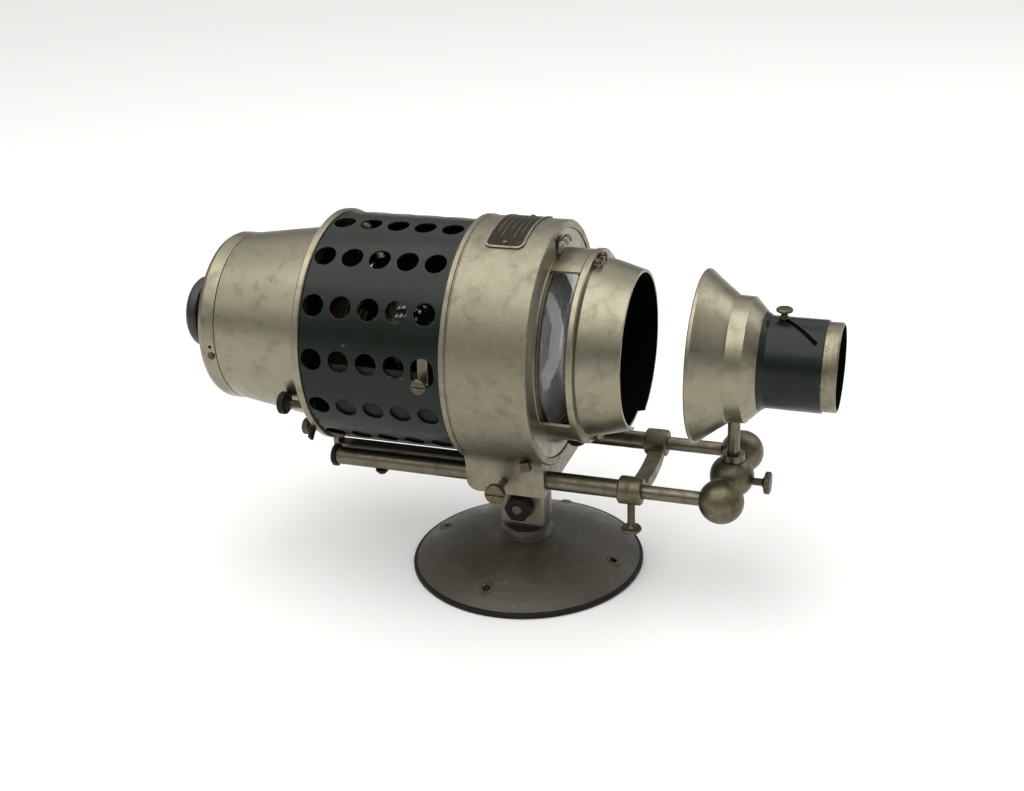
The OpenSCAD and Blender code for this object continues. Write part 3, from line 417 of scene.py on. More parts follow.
@dataclass(frozen=True)
class GlassFinish:
    """Polished glass with a little dust on it."""

    name: str
    tint: str = "f2f5f2"
    ior: float = 1.52
    dust_mm: float = 6.0
    haze: float = 0.0
    rough: tuple[float, float] = (0.02, 0.2)

    def build(self) -> bpy.types.Material:
        """Makes the material.

        Returns:
            The finished material.
        """
        mat = bpy.data.materials.new(self.name)
        mat.use_nodes = True
        tree = mat.node_tree
        shader = tree.nodes["Principled BSDF"]
        sockets = {"Vector": object_place(tree), "Scale": per_mm(self.dust_mm), "Detail": 8.0, "Roughness": 0.7}
        dust = add_node(tree, "TexNoise", sockets).outputs["Fac"]
        clear_most, clear_least = 1.0 - self.haze * 0.7, 1.0 - self.haze * 1.3
        set_input(tree, shader, "Roughness", ramp(tree, dust, 0.45, 0.8, *self.rough))
        set_input(tree, shader, "Base Color", linear(self.tint))
        set_input(tree, shader, "Transmission Weight", ramp(tree, dust, 0.3, 0.7, clear_most, clear_least))
        set_input(tree, shader, "IOR", self.ior)
        return mat


class Finish(Enum):
    """Every surface finish on the projector."""

    # Sand-cast aluminium, left grey and handled for decades: matt, pitted, with small darker stains.
    CASTING = MetalFinish(
        "sand_cast_aluminium", "878270", "625e50", "b0aa98", stain_mm=12, stain_share=0.35, grain_mm=0.9,
        grain_depth=0.2, marks=Lay.ROUND_X, mark_mm=20, mark_depth=0.008, rough=(0.36, 0.5), edge_mm=0.8,
        edge_wear=0.7, specks="4d483d", speck_mm=2.2, speck_share=0.12,
    )
    # The same casting on the rail fittings, darker and browner.
    CASTING_DARK = MetalFinish(
        "dark_cast_aluminium", "6c6754", "423d31", "a39d89", stain_mm=7, stain_share=0.5, grain_mm=0.6,
        grain_depth=0.1, rough=(0.34, 0.5), edge_mm=0.8, edge_wear=0.6, specks="3a362b", speck_mm=1.8,
        speck_share=0.2,
    )
    # Nickel plate on spun brass, gone satin: faint rings from the lathe and small brownish spots.
    SPUN_NICKEL = MetalFinish(
        "spun_nickel_plate", "8f8a77", "6c6756", "b4ae9b", stain_mm=10, stain_share=0.35, grain_mm=0.5,
        grain_depth=0.02, marks=Lay.ROUND_X, mark_mm=16, mark_depth=0.01, rough=(0.28, 0.42), edge_mm=0.5,
        specks="4a4539", speck_mm=3.0, speck_share=0.12,
    )
    # The same plate on tubes whose inside is painted matt black against stray light.
    LINED_NICKEL = replace(SPUN_NICKEL, name="spun_nickel_black_lined", lining_and_shade="060706")
    # The barrel, handled most of all: the plate is spotted, and painted shade darkens it to black where it slides out
    # of sight into the focus tube.
    BARREL_NICKEL = MetalFinish(
        "barrel_nickel_plate", "85806d", "57513f", "b4ae9b", stain_mm=5, stain_share=0.5, grain_mm=0.5,
        grain_depth=0.03, marks=Lay.ROUND_X, mark_mm=12, mark_depth=0.01, rough=(0.3, 0.46), edge_mm=0.5,
        specks="423c2f", speck_mm=1.8, speck_share=0.25, lining_and_shade="060706", shaded_behind=206.4,
    )
    # Drawn steel tube and rod, dull from handling: streaks along its length.
    DRAWN_STEEL = MetalFinish(
        "drawn_steel", "6f6a5b", "464236", "a29c8b", stain_mm=8, stain_share=0.4, grain_mm=0.5,
        grain_depth=0.02, marks=Lay.ALONG_X, mark_mm=12, mark_depth=0.01, rough=(0.28, 0.45), edge_mm=0.5,
    )
    # Turned steel screws whose blueing has gone brown-grey, bright only on the crests.
    BROWNED_STEEL = MetalFinish(
        "browned_screw_steel", "5d564a", "3a352c", "9a9180", stain_mm=4, stain_share=0.5, grain_mm=0.4,
        grain_depth=0.03, rough=(0.34, 0.55), edge_mm=0.4, edge_wear=0.8,
    )
    # Stove enamel on sheet steel, green-black and satin: small chips, bright at the rubbed edges.
    ENAMEL = MetalFinish(
        "stove_enamel", "0f1710", "0a0e0b", "7d7a6c", stain_mm=24, stain_share=0.4, grain_mm=1.4,
        grain_depth=0.015, rough=(0.2, 0.34), metallic=0.0, rubbed_metallic=0.8, edge_mm=0.7, edge_wear=0.3,
        specks="565a50", speck_mm=4.5, speck_share=0.015, scratch_share=0.1, specular=0.24,
    )
    # Matt black heat-proof paint on the inner shield.
    HEAT_BLACK = MetalFinish(
        "heat_proof_black", "1c211f", "121513", "3d3e38", stain_mm=20, stain_share=0.4, grain_mm=1.0,
        grain_depth=0.03, rough=(0.6, 0.8), metallic=0.0, rubbed_metallic=0.3, edge_mm=0.4, edge_wear=0.3,
        specular=0.2,
    )
    # Oil-blacked steel: nearly black, satin, brown where the oil has gone.
    BLACKED = MetalFinish(
        "oil_blacked_steel", "191815", "26231f", "5d584e", stain_mm=7, stain_share=0.4, grain_mm=0.6,
        grain_depth=0.04, rough=(0.42, 0.62), metallic=0.5, rubbed_metallic=0.9, edge_mm=0.4, edge_wear=0.5,
        specular=0.3,
    )
    # Brown-grey crackle paint on the cast base: matt, dusty, with pale scuffs and specks.
    BASE_PAINT = MetalFinish(
        "base_paint", "454138", "524d43", "8d867a", stain_mm=16, stain_share=0.4, grain_mm=0.9,
        grain_depth=0.05, rough=(0.36, 0.55), metallic=0.3, rubbed_metallic=0.7, edge_mm=0.8, edge_wear=0.5,
        specks="a29b8c", speck_mm=3.6, speck_share=0.05,
    )
    # Turned brass thumb screws, brown with tarnish, brighter on the knurling.
    BRASS = MetalFinish(
        "tarnished_brass", "6b5f4c", "423b30", "9c8d6f", stain_mm=4, stain_share=0.5, grain_mm=0.4,
        grain_depth=0.02, rough=(0.34, 0.55), edge_mm=0.35, edge_wear=0.8,
    )
    # Moulded black plastic: even gloss with fine scratches.
    BAKELITE = MetalFinish(
        "moulded_black_plastic", "141312", "1b1a18", "3a3834", stain_mm=20, stain_share=0.3, grain_mm=0.5,
        grain_depth=0.004, rough=(0.26, 0.38), metallic=0.0, rubbed_metallic=0.0, edge_mm=0.5, edge_wear=0.5,
    )
    # Silvered mirror behind the lamp.
    MIRROR = MetalFinish(
        "silvered_mirror", "cfcdc5", "a7a498", "dedcd4", stain_mm=30, stain_share=0.2, grain_mm=2.0,
        grain_depth=0.002, rough=(0.06, 0.18), edge_mm=0.3, edge_wear=0.3,
    )
    # Etched name plate: raised pale border and rules on a dark sunk field, no lettering.
    PLATE = MetalFinish(
        "etched_plate", "8b8473", "5a5446", "b3ab98", stain_mm=5, stain_share=0.35, grain_mm=0.5,
        grain_depth=0.03, rough=(0.35, 0.55), edge_mm=0.3, edge_wear=0.8, field_radius=84.3,
    )
    # Tungsten coil and nickel supports inside the lamp.
    LAMP_WIRE = MetalFinish(
        "tungsten_wire", "5a5752", "3d3b37", "96928a", stain_mm=2, stain_share=0.4, grain_mm=0.3,
        grain_depth=0.004, rough=(0.3, 0.45), edge_mm=0.1, edge_wear=0.3,
    )
    # Ground and polished crown glass of the projection lens.
    CLEAR_GLASS = GlassFinish("polished_lens_glass")
    # Thick condenser glass with a bloom of old dust, so that it looks grey against the dark housing.
    CONDENSER_GLASS = GlassFinish("bloomed_condenser_glass", haze=0.22)
    # Thin blown glass of the lamp.
    LAMP_GLASS = GlassFinish("clear_lamp_glass", tint="f5f5f2", ior=1.46, dust_mm=12.0)


class Paintbox:
    """Makes each finish once and hands it out."""

    def __init__(self) -> None:
        """Starts with no material made."""
        self._made: dict[Finish, bpy.types.Material] = {}

    def get(self, finish: Finish) -> bpy.types.Material:
        """Gives the material of a finish, made on its first use."""
        if finish not in self._made:
            self._made[finish] = finish.value.build()
        return self._made[finish]


paints = Paintbox()


def dress(finish: Finish, *nodes: str) -> None:
    """Gives carried-over solids their finish.

    Args:
        finish: The finish.
        *nodes: Names of the solids.
    """
    for name in nodes:
        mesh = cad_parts[name].data
        mesh.materials.clear()
        mesh.materials.append(paints.get(finish))
        log.info("%s: %s", name, finish.name.lower())


def place_piece(bm: bmesh.types.BMesh, name: str, finish: Finish, body: str) -> bpy.types.Object:
    """Turns a finished bmesh into a painted piece that rides on a body.

    Args:
        bm: The shape, in metres, in its place at rest.
        name: The piece's name.
        finish: Its finish.
        body: The body that carries it.

    Returns:
        The piece.
    """
    for face in bm.faces:
        face.smooth = True
    mesh = bpy.data.meshes.new(name)
    bm.to_mesh(mesh)
    bm.free()
    piece = bpy.data.objects.new(name, mesh)
    bpy.context.collection.objects.link(piece)
    mesh.materials.append(paints.get(finish))
    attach(piece, body)
    log.info("%s: %d faces on %s", name, len(mesh.polygons), body)
    return piece


def put(bm: bmesh.types.BMesh, name: str, finish: Finish, body: str) -> bpy.types.Object:
    """Turns the faces of a solid shape outwards, keeps its corners crisp, and places it.

    Args:
        bm: The shape, in metres, in its place at rest.
        name: The piece's name.
        finish: Its finish.
        body: The body that carries it.

    Returns:
        The piece.
    """
    bmesh.ops.recalc_face_normals(bm, faces=bm.faces)
    for edge in bm.edges:
        if len(edge.link_faces) == 2 and edge.calc_face_angle(0.0) > CRISP_ANGLE:
            edge.smooth = False
    return place_piece(bm, name, finish, body)


def close_ends(bm: bmesh.types.BMesh) -> None:
    """Fills the open ends of a swept shape."""
    bmesh.ops.holes_fill(bm, edges=[e for e in bm.edges if e.is_boundary], sides=0)


def turn(bm: bmesh.types.BMesh, profile: Sequence[tuple[float, float]], place: Matrix, steps: int) -> None:
    """Spins a closed or pole-to-pole profile about a local Z axis.

    Args:
        bm: Where the shape goes.
        profile: Radius and height pairs in millimetres. It closes on itself unless both ends lie on the axis.
        place: Carries the local axis to its place, in metres.
        steps: Segments round the axis.
    """
    verts = [bm.verts.new((r * MM, 0.0, h * MM)) for r, h in profile]
    edges = [bm.edges.new(pair) for pair in zip(verts, verts[1:])]
    if profile[0][0] > 0 and profile[-1][0] > 0:
        edges.append(bm.edges.new((verts[-1], verts[0])))
    bmesh.ops.spin(
        bm, geom=verts + edges, cent=(0, 0, 0), axis=(0, 0, 1), angle=math.tau, steps=steps, use_merge=True,
    )
    fresh = [v for v in bm.verts if not v.tag]
    bmesh.ops.remove_doubles(bm, verts=fresh, dist=1e-6)
    fresh = [v for v in bm.verts if not v.tag]
    bmesh.ops.transform(bm, matrix=place, verts=fresh)
    for v in fresh:
        v.tag = True


def along(start: Vector, axis: Vector) -> Matrix:
    """Gives the placing that carries a local Z axis to a start and a direction."""
    return Matrix.Translation(start) @ axis.to_track_quat("Z", "Y").to_matrix().to_4x4()


def middle_of(node: str) -> Vector:
    """Gives the middle of a solid's box at rest."""
    low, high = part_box(node)
    return (Vector(low) + Vector(high)) / 2


def clock(x_mm: float, radius_mm: float, degrees: float) -> Vector:
    """Gives a point by its place along the axis, its radius and its angle from the top towards the near side."""
    turn_by = math.radians(degrees)
    return Vector((x_mm * MM, -radius_mm * MM * math.sin(turn_by), AXIS_Z + radius_mm * MM * math.cos(turn_by)))


def outward(degrees: float) -> Vector:
    """Gives the direction away from the optical axis at an angle from the top."""
    turn_by = math.radians(degrees)
    return Vector((0.0, -math.sin(turn_by), math.cos(turn_by)))


@dataclass(frozen=True)
class Thread:
    """A screw thread wound round the bare part of a shank. Millimetres."""

    name: str
    body: str
    slot: str
    start: tuple[float, float, float]
    axis: tuple[float, float, float]
    length: float
    radius: float = 2.5
    pitch: float = 0.9
    crest: float = 0.16
    half_width: float = 0.324
    per_turn: int = 28
    finish: Finish = Finish.BROWNED_STEEL

    def build(self) -> bpy.types.Object:
        """Winds the crest round the shank.

        Returns:
            The thread.
        """
        bm = bmesh.new()
        ring = bmesh.ops.create_circle(bm, cap_ends=False, segments=6, radius=self.half_width * MM)["verts"]
        bmesh.ops.scale(bm, vec=(1.0, self.crest / self.half_width, 1.0), verts=ring)
        stand = Matrix.Translation((0.0, self.radius * MM, 0.0)) @ Matrix.Rotation(math.pi / 2, 4, "Y")
        bmesh.ops.transform(bm, matrix=stand, verts=ring)
        turns = self.length / self.pitch
        count = int(turns * self.per_turn)
        bmesh.ops.spin(
            bm, geom=bm.verts[:] + bm.edges[:], cent=(0, 0, 0), axis=(0, 0, 1), angle=math.tau * turns, steps=count,
            dvec=(0, 0, self.length * MM / count), use_merge=False,
        )
        close_ends(bm)
        place = along(Vector(self.start), Vector(self.axis).normalized())
        bmesh.ops.transform(bm, matrix=place, verts=bm.verts)
        return put(bm, self.name, self.finish, self.body)


@dataclass
class Stand:
    """The round base, its rim, and the post that carries the tilt joint. Millimetres."""

    washer_out: float = 4.6
    washer_in: float = 2.6
    hole_circle: float = 67.0
    holes: int = 4
    first_hole: float = -7.0
    eyelet_depth: float = 2.2
    eyelet_wall: float = 0.12
    rim_high: float = 4.0
    boss_radius: float = 20.5
    dome_radius: float = 81.5
    dome_bow: float = 1.9

    def build(self) -> None:
        """Dresses the stand's solids and presses a worn ring round each screw hole."""
        dress(Finish.BASE_PAINT, "base_plate", "tilt_post")
        dress(Finish.BLACKED, "base_rim")
        dress(Finish.BROWNED_STEEL, "post_screws")
        self.hole_rings()

    def hole_rings(self) -> bpy.types.Object:
        """Sets a thin eyelet in the mouth of each screw hole.

        Returns:
            The eyelets.
        """
        bm = bmesh.new()
        flange, tube = self.washer_out, self.washer_in
        sleeve = tube + self.eyelet_wall
        profile = [
            (tube, -self.eyelet_depth), (sleeve, -self.eyelet_depth), (sleeve, 0.0), (flange - 0.4, 0.0),
            (flange, 0.12), (flange - 0.5, 0.4), (tube + 0.5, 0.45), (tube, 0.2),
        ]
        top = self.dome_height()
        for k in range(self.holes):
            angle = math.radians(self.first_hole + k * 360 / self.holes)
            lean = Vector((math.cos(angle) * self.slope(), math.sin(angle) * self.slope(), 1.0)).normalized()
            at = Vector((math.cos(angle), math.sin(angle), 0.0)) * (self.hole_circle * MM) + Vector((0, 0, top))
            turn(bm, profile, along(at, lean), steps=32)
        return put(bm, "hole_eyelets", Finish.BROWNED_STEEL, "stand")

    def rise(self) -> float:
        """Gives how far the dome rises above its rim."""
        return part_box("base_plate")[1][2] / MM - self.rim_high

    def reach(self) -> float:
        """Gives how far out the hole circle lies, from 0 at the boss to 1 at the rim."""
        return (self.hole_circle - self.boss_radius) / (self.dome_radius - self.boss_radius)

    def dome_height(self) -> float:
        """Gives the height of the dome's face at the hole circle, in metres."""
        return (self.rim_high + self.rise() * (1 - self.reach() ** self.dome_bow)) * MM

    def slope(self) -> float:
        """Gives how steeply the dome falls at the hole circle."""
        steep = self.dome_bow * self.reach() ** (self.dome_bow - 1)
        return self.rise() * steep / (self.dome_radius - self.boss_radius)


@dataclass
class TiltJoint:
    """The bolt that clamps the lantern to its post."""

    def build(self) -> None:
        """Dresses the bolt, its washers and its nut."""
        dress(Finish.BROWNED_STEEL, "tilt_bolt", "tilt_washers")
        dress(Finish.BLACKED, "tilt_nut")


@dataclass
class LampHouse:
    """The cast band, the vented sleeve, its shield and the rear can. Millimetres."""

    sleeve_radius: float = 80.0
    seam_angle: float = 175.0
    seam_width: float = 9.0
    seam_thick: float = 0.8
    rivet_pitch: float = 14.0
    rivet_radius: float = 1.5
    plate_face: float = 84.15
    rule_high: float = 0.22
    lap_radius: float = 75.9
    lap_half: float = 63.0
    lap_angle: float = 263.0
    air: float = 0.4
    seam_inset: float = 1.0
    lap_inset: float = 4.0
    rivet_inset: float = 5.5
    rivet_shift: float = 0.5
    rivet_spread: float = 1.6
    rule_half: float = 0.35
    # Place along the plate and reach across it, both as shares
    rule_rows: tuple[tuple[float, float], ...] = ((-0.3, 0.52), (-0.16, 0.68), (0.0, 0.4), (0.16, 0.68), (0.3, 0.52))

    def build(self) -> None:
        """Dresses the solids and adds the seam, the rivets and the plate's rules."""
        dress(Finish.CASTING, "front_casting")
        dress(Finish.ENAMEL, "vent_sleeve")
        dress(Finish.HEAT_BLACK, "heat_shield")
        dress(Finish.SPUN_NICKEL, "rear_ring", "rear_can", "rear_cap")
        dress(Finish.BROWNED_STEEL, "cap_screws", "lamp_screw_lower", "cell_clamp_screw")
        dress(Finish.DRAWN_STEEL, "brace_bars", "clamp_strap")
        dress(Finish.BLACKED, "lamp_screw_upper", "can_latch")
        dress(Finish.PLATE, "name_plate")
        dress(Finish.BRASS, "plate_screws", "rail_clamp_screw")
        self.seam()
        self.rivets()
        self.shield_lap()
        self.rules()
        self.threads()

    def sleeve_span(self, inset: float) -> tuple[float, float]:
        """Gives the bare sleeve's ends along the axis, drawn in at both, in millimetres."""
        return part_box("vent_sleeve")[0][0] / MM + inset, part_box("front_casting")[0][0] / MM - inset

    def seam(self) -> bpy.types.Object:
        """Laps a strip over the sleeve's joint underneath.

        Returns:
            The strip.
        """
        rear, front = self.sleeve_span(self.seam_inset)
        half = math.degrees(self.seam_width / 2 / self.sleeve_radius)
        bm = bmesh.new()
        self.arc_bar(bm, rear, front, self.sleeve_radius + 0.04, self.seam_thick, self.seam_angle, half)
        return put(bm, "sleeve_seam", Finish.ENAMEL, "head")

    def arc_bar(
        self, bm: bmesh.types.BMesh, rear: float, front: float, radius: float, thick: float, angle: float,
        half: float,
    ) -> None:
        """Spins a small rectangle through part of a turn and closes its ends.

        Args:
            bm: Where the bar goes.
            rear: Where it starts along the axis.
            front: Where it ends.
            radius: Its inner radius.
            thick: Its thickness.
            angle: The angle of its middle from the top.
            half: Half the angle that it spans.
        """
        soft = min(thick, front - rear) * 0.3
        corners = (
            (rear, radius), (front, radius), (front, radius + thick - soft), (front - soft, radius + thick),
            (rear + soft, radius + thick), (rear, radius + thick - soft),
        )
        verts = [bm.verts.new(clock(x, r, angle - half)) for x, r in corners]
        face = bm.faces.new(verts)
        bmesh.ops.spin(
            bm, geom=[*verts, *face.edges, face], cent=(0, 0, AXIS_Z), axis=(1, 0, 0),
            angle=math.radians(2 * half), steps=24, use_merge=False,
        )
        close_ends(bm)

    def shield_lap(self) -> bpy.types.Object:
        """Bends the lap that carries the heat shield back to the ring on the far side.

        Returns:
            The lap.
        """
        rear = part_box("vent_sleeve")[0][0] / MM + self.lap_inset
        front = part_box("heat_shield")[0][0] / MM + self.lap_inset
        bm = bmesh.new()
        self.arc_bar(bm, rear, front, self.lap_radius, self.seam_thick, self.lap_angle, self.lap_half)
        return put(bm, "shield_lap", Finish.HEAT_BLACK, "head")

    def rivet_profile(self) -> list[tuple[float, float]]:
        """Gives half the section of a round rivet head that sits on the sheet."""
        r = self.rivet_radius
        return [(0.0, 0.9), (r * 0.45, 0.82), (r * 0.8, 0.5), (r, 0.12), (r, -0.15), (0.0, -0.15)]

    def rivets(self) -> bpy.types.Object:
        """Sets round rivet heads along the seam.

        Returns:
            The rivets.
        """
        bm = bmesh.new()
        rear, front = (end + self.rivet_shift for end in self.sleeve_span(self.rivet_inset))
        count = int((front - rear) / self.rivet_pitch) + 1
        spread = (front - rear) / (count - 1)
        for k in range(count):
            for angle in (self.seam_angle - self.rivet_spread, self.seam_angle + self.rivet_spread):
                at = clock(rear + k * spread, self.sleeve_radius + self.seam_thick, angle)
                turn(bm, self.rivet_profile(), along(at, outward(angle)), steps=14)
        return put(bm, "seam_rivets", Finish.BROWNED_STEEL, "head")

    def rules(self) -> bpy.types.Object:
        """Raises plain rules on the name plate, with no lettering.

        Returns:
            The rules.
        """
        bm = bmesh.new()
        low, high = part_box("name_plate")
        rear, front = low[0] / MM, high[0] / MM
        middle = (rear + front) / 2
        half = math.degrees(math.asin((high[1] - low[1]) / 2 / (self.plate_face * MM)))
        sunk = self.plate_face - 0.05
        for place, reach in self.rule_rows:
            x = middle + place * (front - rear)
            self.arc_bar(bm, x - self.rule_half, x + self.rule_half, sunk, self.rule_high, 0.0, half * reach)
        return put(bm, "plate_rules", Finish.BRASS, "head")

    def threads(self) -> None:
        """Winds the threads of the screws that stand out of the lamp house."""
        rail = middle_of("rail_clamp_screw")
        start = (rail.x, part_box("rail_clamp_screw")[0][1] + 6.4 * MM, rail.z)
        Thread("rail_screw_thread", "rail_screw", "brass", start, (0, 1, 0), length=12.4, finish=Finish.BRASS).build()
        for label, body in (("upper", "lamp_screw_a"), ("lower", "lamp_screw_b")):
            at = middle_of(f"lamp_screw_{label}")
            start = (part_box("rear_ring")[0][0] - self.air * MM, at.y, at.z)
            Thread(f"lamp_screw_thread_{label}", body, "steel", start, (-1, 0, 0), length=10.5).build()
        clamp = middle_of("cell_clamp_screw")
        foot = Vector((clamp.x, 0.0, AXIS_Z))
        away = (clamp - foot).normalized()
        start = foot + away * (self.sleeve_radius + self.air) * MM
        Thread("cell_clamp_thread", "cell_screw", "steel", tuple(start), tuple(away), length=2.8).build()
        seat = middle_of("cell_set_screw")
        start = (seat.x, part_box("cell_set_screw")[0][1] + 5.2 * MM, seat.z)
        Thread("cell_set_thread", "head", "steel", start, (0, 1, 0), length=2.9, radius=2.45).build()


@dataclass
class SlideStage:
    """The window for the slide carrier, the condenser behind it and the nose in front. Millimetres."""

    def build(self) -> None:
        """Dresses the stage and the condenser."""
        dress(Finish.LINED_NICKEL, "slide_stage")
        dress(Finish.SPUN_NICKEL, "carrier_spring")
        dress(Finish.BROWNED_STEEL, "stage_screws", "cell_set_screw")
        dress(Finish.BLACKED, "stage_knob")
        dress(Finish.DRAWN_STEEL, "condenser_cell", "condenser_spacer", "condenser_ring")
        dress(Finish.CONDENSER_GLASS, "rear_condenser", "front_condenser")


@dataclass
class LampCarriage:
    """The knob, tube and socket that push the lamp to and fro, and the lamp itself. Millimetres."""

    wall: float = 0.6
    neck: float = 11.0
    coil_radius: float = 1.7
    coil_turns: int = 9
    coil_pitch: float = 1.3
    wire: float = 0.22
    support: float = 0.35
    neck_long: float = 5.0
    globe_steps: int = 18
    coil_steps: int = 20
    stem_long: float = 16.0
    support_gap: float = 1.6
    elbow_back: float = 5.0

    def build(self) -> None:
        """Dresses the carriage and blows a hollow bulb round its filament."""
        dress(Finish.BAKELITE, "rear_knob")
        dress(Finish.BRASS, "lamp_tube", "lamp_socket", "lamp_base")
        dress(Finish.MIRROR, "reflector")
        dress(Finish.DRAWN_STEEL, "reflector_bracket")
        self.bulb()
        self.stem()
        self.filament()

    def bulb_box(self) -> tuple[float, float, float]:
        """Gives the bulb's radius, its back and its front along the axis, in millimetres."""
        low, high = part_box("lamp_bulb")
        return (high[1] - low[1]) / 2 / MM, low[0] / MM, high[0] / MM

    def bulb(self) -> bpy.types.Object:
        """Makes the hollow glass envelope in place of the solid one.

        Returns:
            The envelope.
        """
        radius, back, front = self.bulb_box()
        centre = front - radius - back
        start = math.asin(self.neck / radius)
        outer, inner = [], []
        for k in range(self.globe_steps + 1):
            angle = (math.pi - start) * (1 - k / self.globe_steps)
            for shell, size in ((outer, radius), (inner, radius - self.wall)):
                shell.append((max(size * math.sin(angle), 0.0), centre + size * math.cos(angle)))
        outer[-1], inner[-1] = (0.0, outer[-1][1]), (0.0, inner[-1][1])
        neck, throat = self.neck, self.neck - self.wall
        profile = [(0.0, 0.0), (neck - 1.5, 0.05), (neck, 1.0), (neck, self.neck_long), *outer]
        bore = [(0.0, 0.8), (neck - 2.0, 0.85), (throat, 1.6), (throat, self.neck_long), *inner]
        bm = bmesh.new()
        place = along(Vector((back * MM, 0.0, AXIS_Z)), FORWARD)
        turn(bm, profile, place, steps=48)
        bmesh.ops.recalc_face_normals(bm, faces=bm.faces)
        hollow = bmesh.new()
        turn(hollow, bore, place, steps=48)
        bmesh.ops.recalc_face_normals(hollow, faces=hollow.faces)
        bmesh.ops.reverse_faces(hollow, faces=hollow.faces)
        spare = bpy.data.meshes.new("spare")
        hollow.to_mesh(spare)
        hollow.free()
        bm.from_mesh(spare)
        bpy.data.meshes.remove(spare)
        piece = place_piece(bm, "bulb_envelope", Finish.LAMP_GLASS, "lamp_carriage")
        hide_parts("lamp_bulb")
        return piece

    def stem(self) -> bpy.types.Object:
        """Turns the glass stem that holds the support wires.

        Returns:
            The stem.
        """
        _radius, back, _front = self.bulb_box()
        bm = bmesh.new()
        profile = [
            (0.0, 1.2), (5.6, 1.2), (5.2, 2.4), (3.4, 5.0), (2.4, 9.0), (2.2, 15.0), (2.8, 16.4), (2.6, 17.6),
            (1.2, 18.4), (0.0, 18.5),
        ]
        turn(bm, profile, along(Vector((back * MM, 0.0, AXIS_Z)), FORWARD), steps=32)
        return put(bm, "lamp_stem", Finish.LAMP_GLASS, "lamp_carriage")

    def filament(self) -> bpy.types.Object:
        """Coils the tungsten wire and bends its two supports.

        Returns:
            The filament with its supports.
        """
        radius, back, front = self.bulb_box()
        at_x = (front - radius) * MM
        half = self.coil_turns * self.coil_pitch / 2
        bm = bmesh.new()
        ring = bmesh.ops.create_circle(bm, cap_ends=False, segments=6, radius=self.wire * MM)["verts"]
        stand = Matrix.Translation((self.coil_radius * MM, 0.0, 0.0)) @ Matrix.Rotation(math.pi / 2, 4, "X")
        bmesh.ops.transform(bm, matrix=stand, verts=ring)
        count = self.coil_turns * self.coil_steps
        bmesh.ops.spin(
            bm, geom=bm.verts[:] + bm.edges[:], cent=(0, 0, 0), axis=(0, 0, 1), angle=math.tau * self.coil_turns,
            steps=count, dvec=(0, 0, 2 * half * MM / count), use_merge=False,
        )
        close_ends(bm)
        across = along(Vector((at_x, half * MM, AXIS_Z)), Vector((0, -1, 0)))
        bmesh.ops.transform(bm, matrix=across, verts=bm.verts)
        for side in (-1, 1):
            foot = Vector(((back + self.stem_long) * MM, side * self.support_gap * MM, AXIS_Z))
            elbow = Vector((at_x - self.elbow_back * MM, side * half * MM, AXIS_Z))
            tip = Vector((at_x, side * half * MM, AXIS_Z + self.coil_radius * MM))
            for a, b in ((foot, elbow), (elbow, tip)):
                span, thick = b - a, self.support * MM
                bmesh.ops.create_cone(
                    bm, cap_ends=True, segments=10, radius1=thick, radius2=thick, depth=span.length,
                    matrix=along((a + b) / 2, span),
                )
            knot = Matrix.Translation(elbow)
            bmesh.ops.create_icosphere(bm, subdivisions=2, radius=self.support * 1.25 * MM, matrix=knot)
        return put(bm, "lamp_filament", Finish.LAMP_WIRE, "lamp_carriage")


@dataclass
class Rails:
    """The two tubes, their yoke, and the rods, balls and cross rods that slide in them. Millimetres."""

    def build(self) -> None:
        """Dresses the rails and winds the threads of their screws."""
        dress(Finish.DRAWN_STEEL, "rail_tubes", "inner_rods", "cross_rods")
        dress(Finish.CASTING_DARK, "rail_yoke", "end_balls", "centre_ball")
        dress(Finish.BLACKED, "tube_end_caps", "tube_stop_screws")
        dress(Finish.BROWNED_STEEL, "yoke_clamp_screw", "ball_clamp_screw")
        yoke = middle_of("yoke_clamp_screw")
        start = (yoke.x, yoke.y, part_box("yoke_clamp_screw")[0][2] + 4.8 * MM)
        Thread("yoke_screw_thread", "yoke_screw", "steel", start, (0, 0, 1), length=15.6).build()
        ball = middle_of("ball_clamp_screw")
        start = (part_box("centre_ball")[1][0] + 0.4 * MM, ball.y, ball.z)
        Thread("ball_screw_thread", "ball_screw", "steel", start, (1, 0, 0), length=4.6).build()


@dataclass
class LensCarrier:
    """The post, its collar, the hood and the focusing tube. Millimetres."""

    def build(self) -> None:
        """Dresses the lens carrier."""
        dress(Finish.DRAWN_STEEL, "lens_post", "post_collar")
        dress(Finish.LINED_NICKEL, "lens_hood")
        dress(Finish.ENAMEL, "focus_tube")


@dataclass
class FocusBarrel:
    """The sliding barrel with its lenses, rings and thumb screw. Millimetres."""

    groove_depth: float = 0.12
    groove_gap: float = 1.1
    grooves: int = 3
    first_groove: float = -1.6

    def build(self) -> None:
        """Dresses the barrel and adds the beads at its mouth."""
        dress(Finish.BARREL_NICKEL, "lens_barrel")
        dress(Finish.BLACKED, "lens_rings")
        dress(Finish.CLEAR_GLASS, "front_lens", "rear_lens")
        dress(Finish.BROWNED_STEEL, "focus_screw")
        self.beads()

    def beads(self) -> bpy.types.Object:
        """Turns the fine beads round the barrel's bright end.

        Returns:
            The beads.
        """
        low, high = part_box("lens_barrel")
        radius, front = (high[1] - low[1]) / 2 / MM, high[0] / MM
        bm = bmesh.new()
        for k in range(self.grooves):
            x = self.first_groove - k * self.groove_gap
            crown, shoulder = radius + self.groove_depth, radius + self.groove_depth * 0.7
            profile = [
                (radius - 0.1, x - 0.3), (shoulder, x - 0.2), (crown, x), (shoulder, x + 0.2),
                (radius - 0.1, x + 0.3),
            ]
            turn(bm, profile, along(Vector((front * MM, 0.0, AXIS_Z)), FORWARD), steps=96)
        return put(bm, "barrel_beads", Finish.SPUN_NICKEL, "focus_barrel")


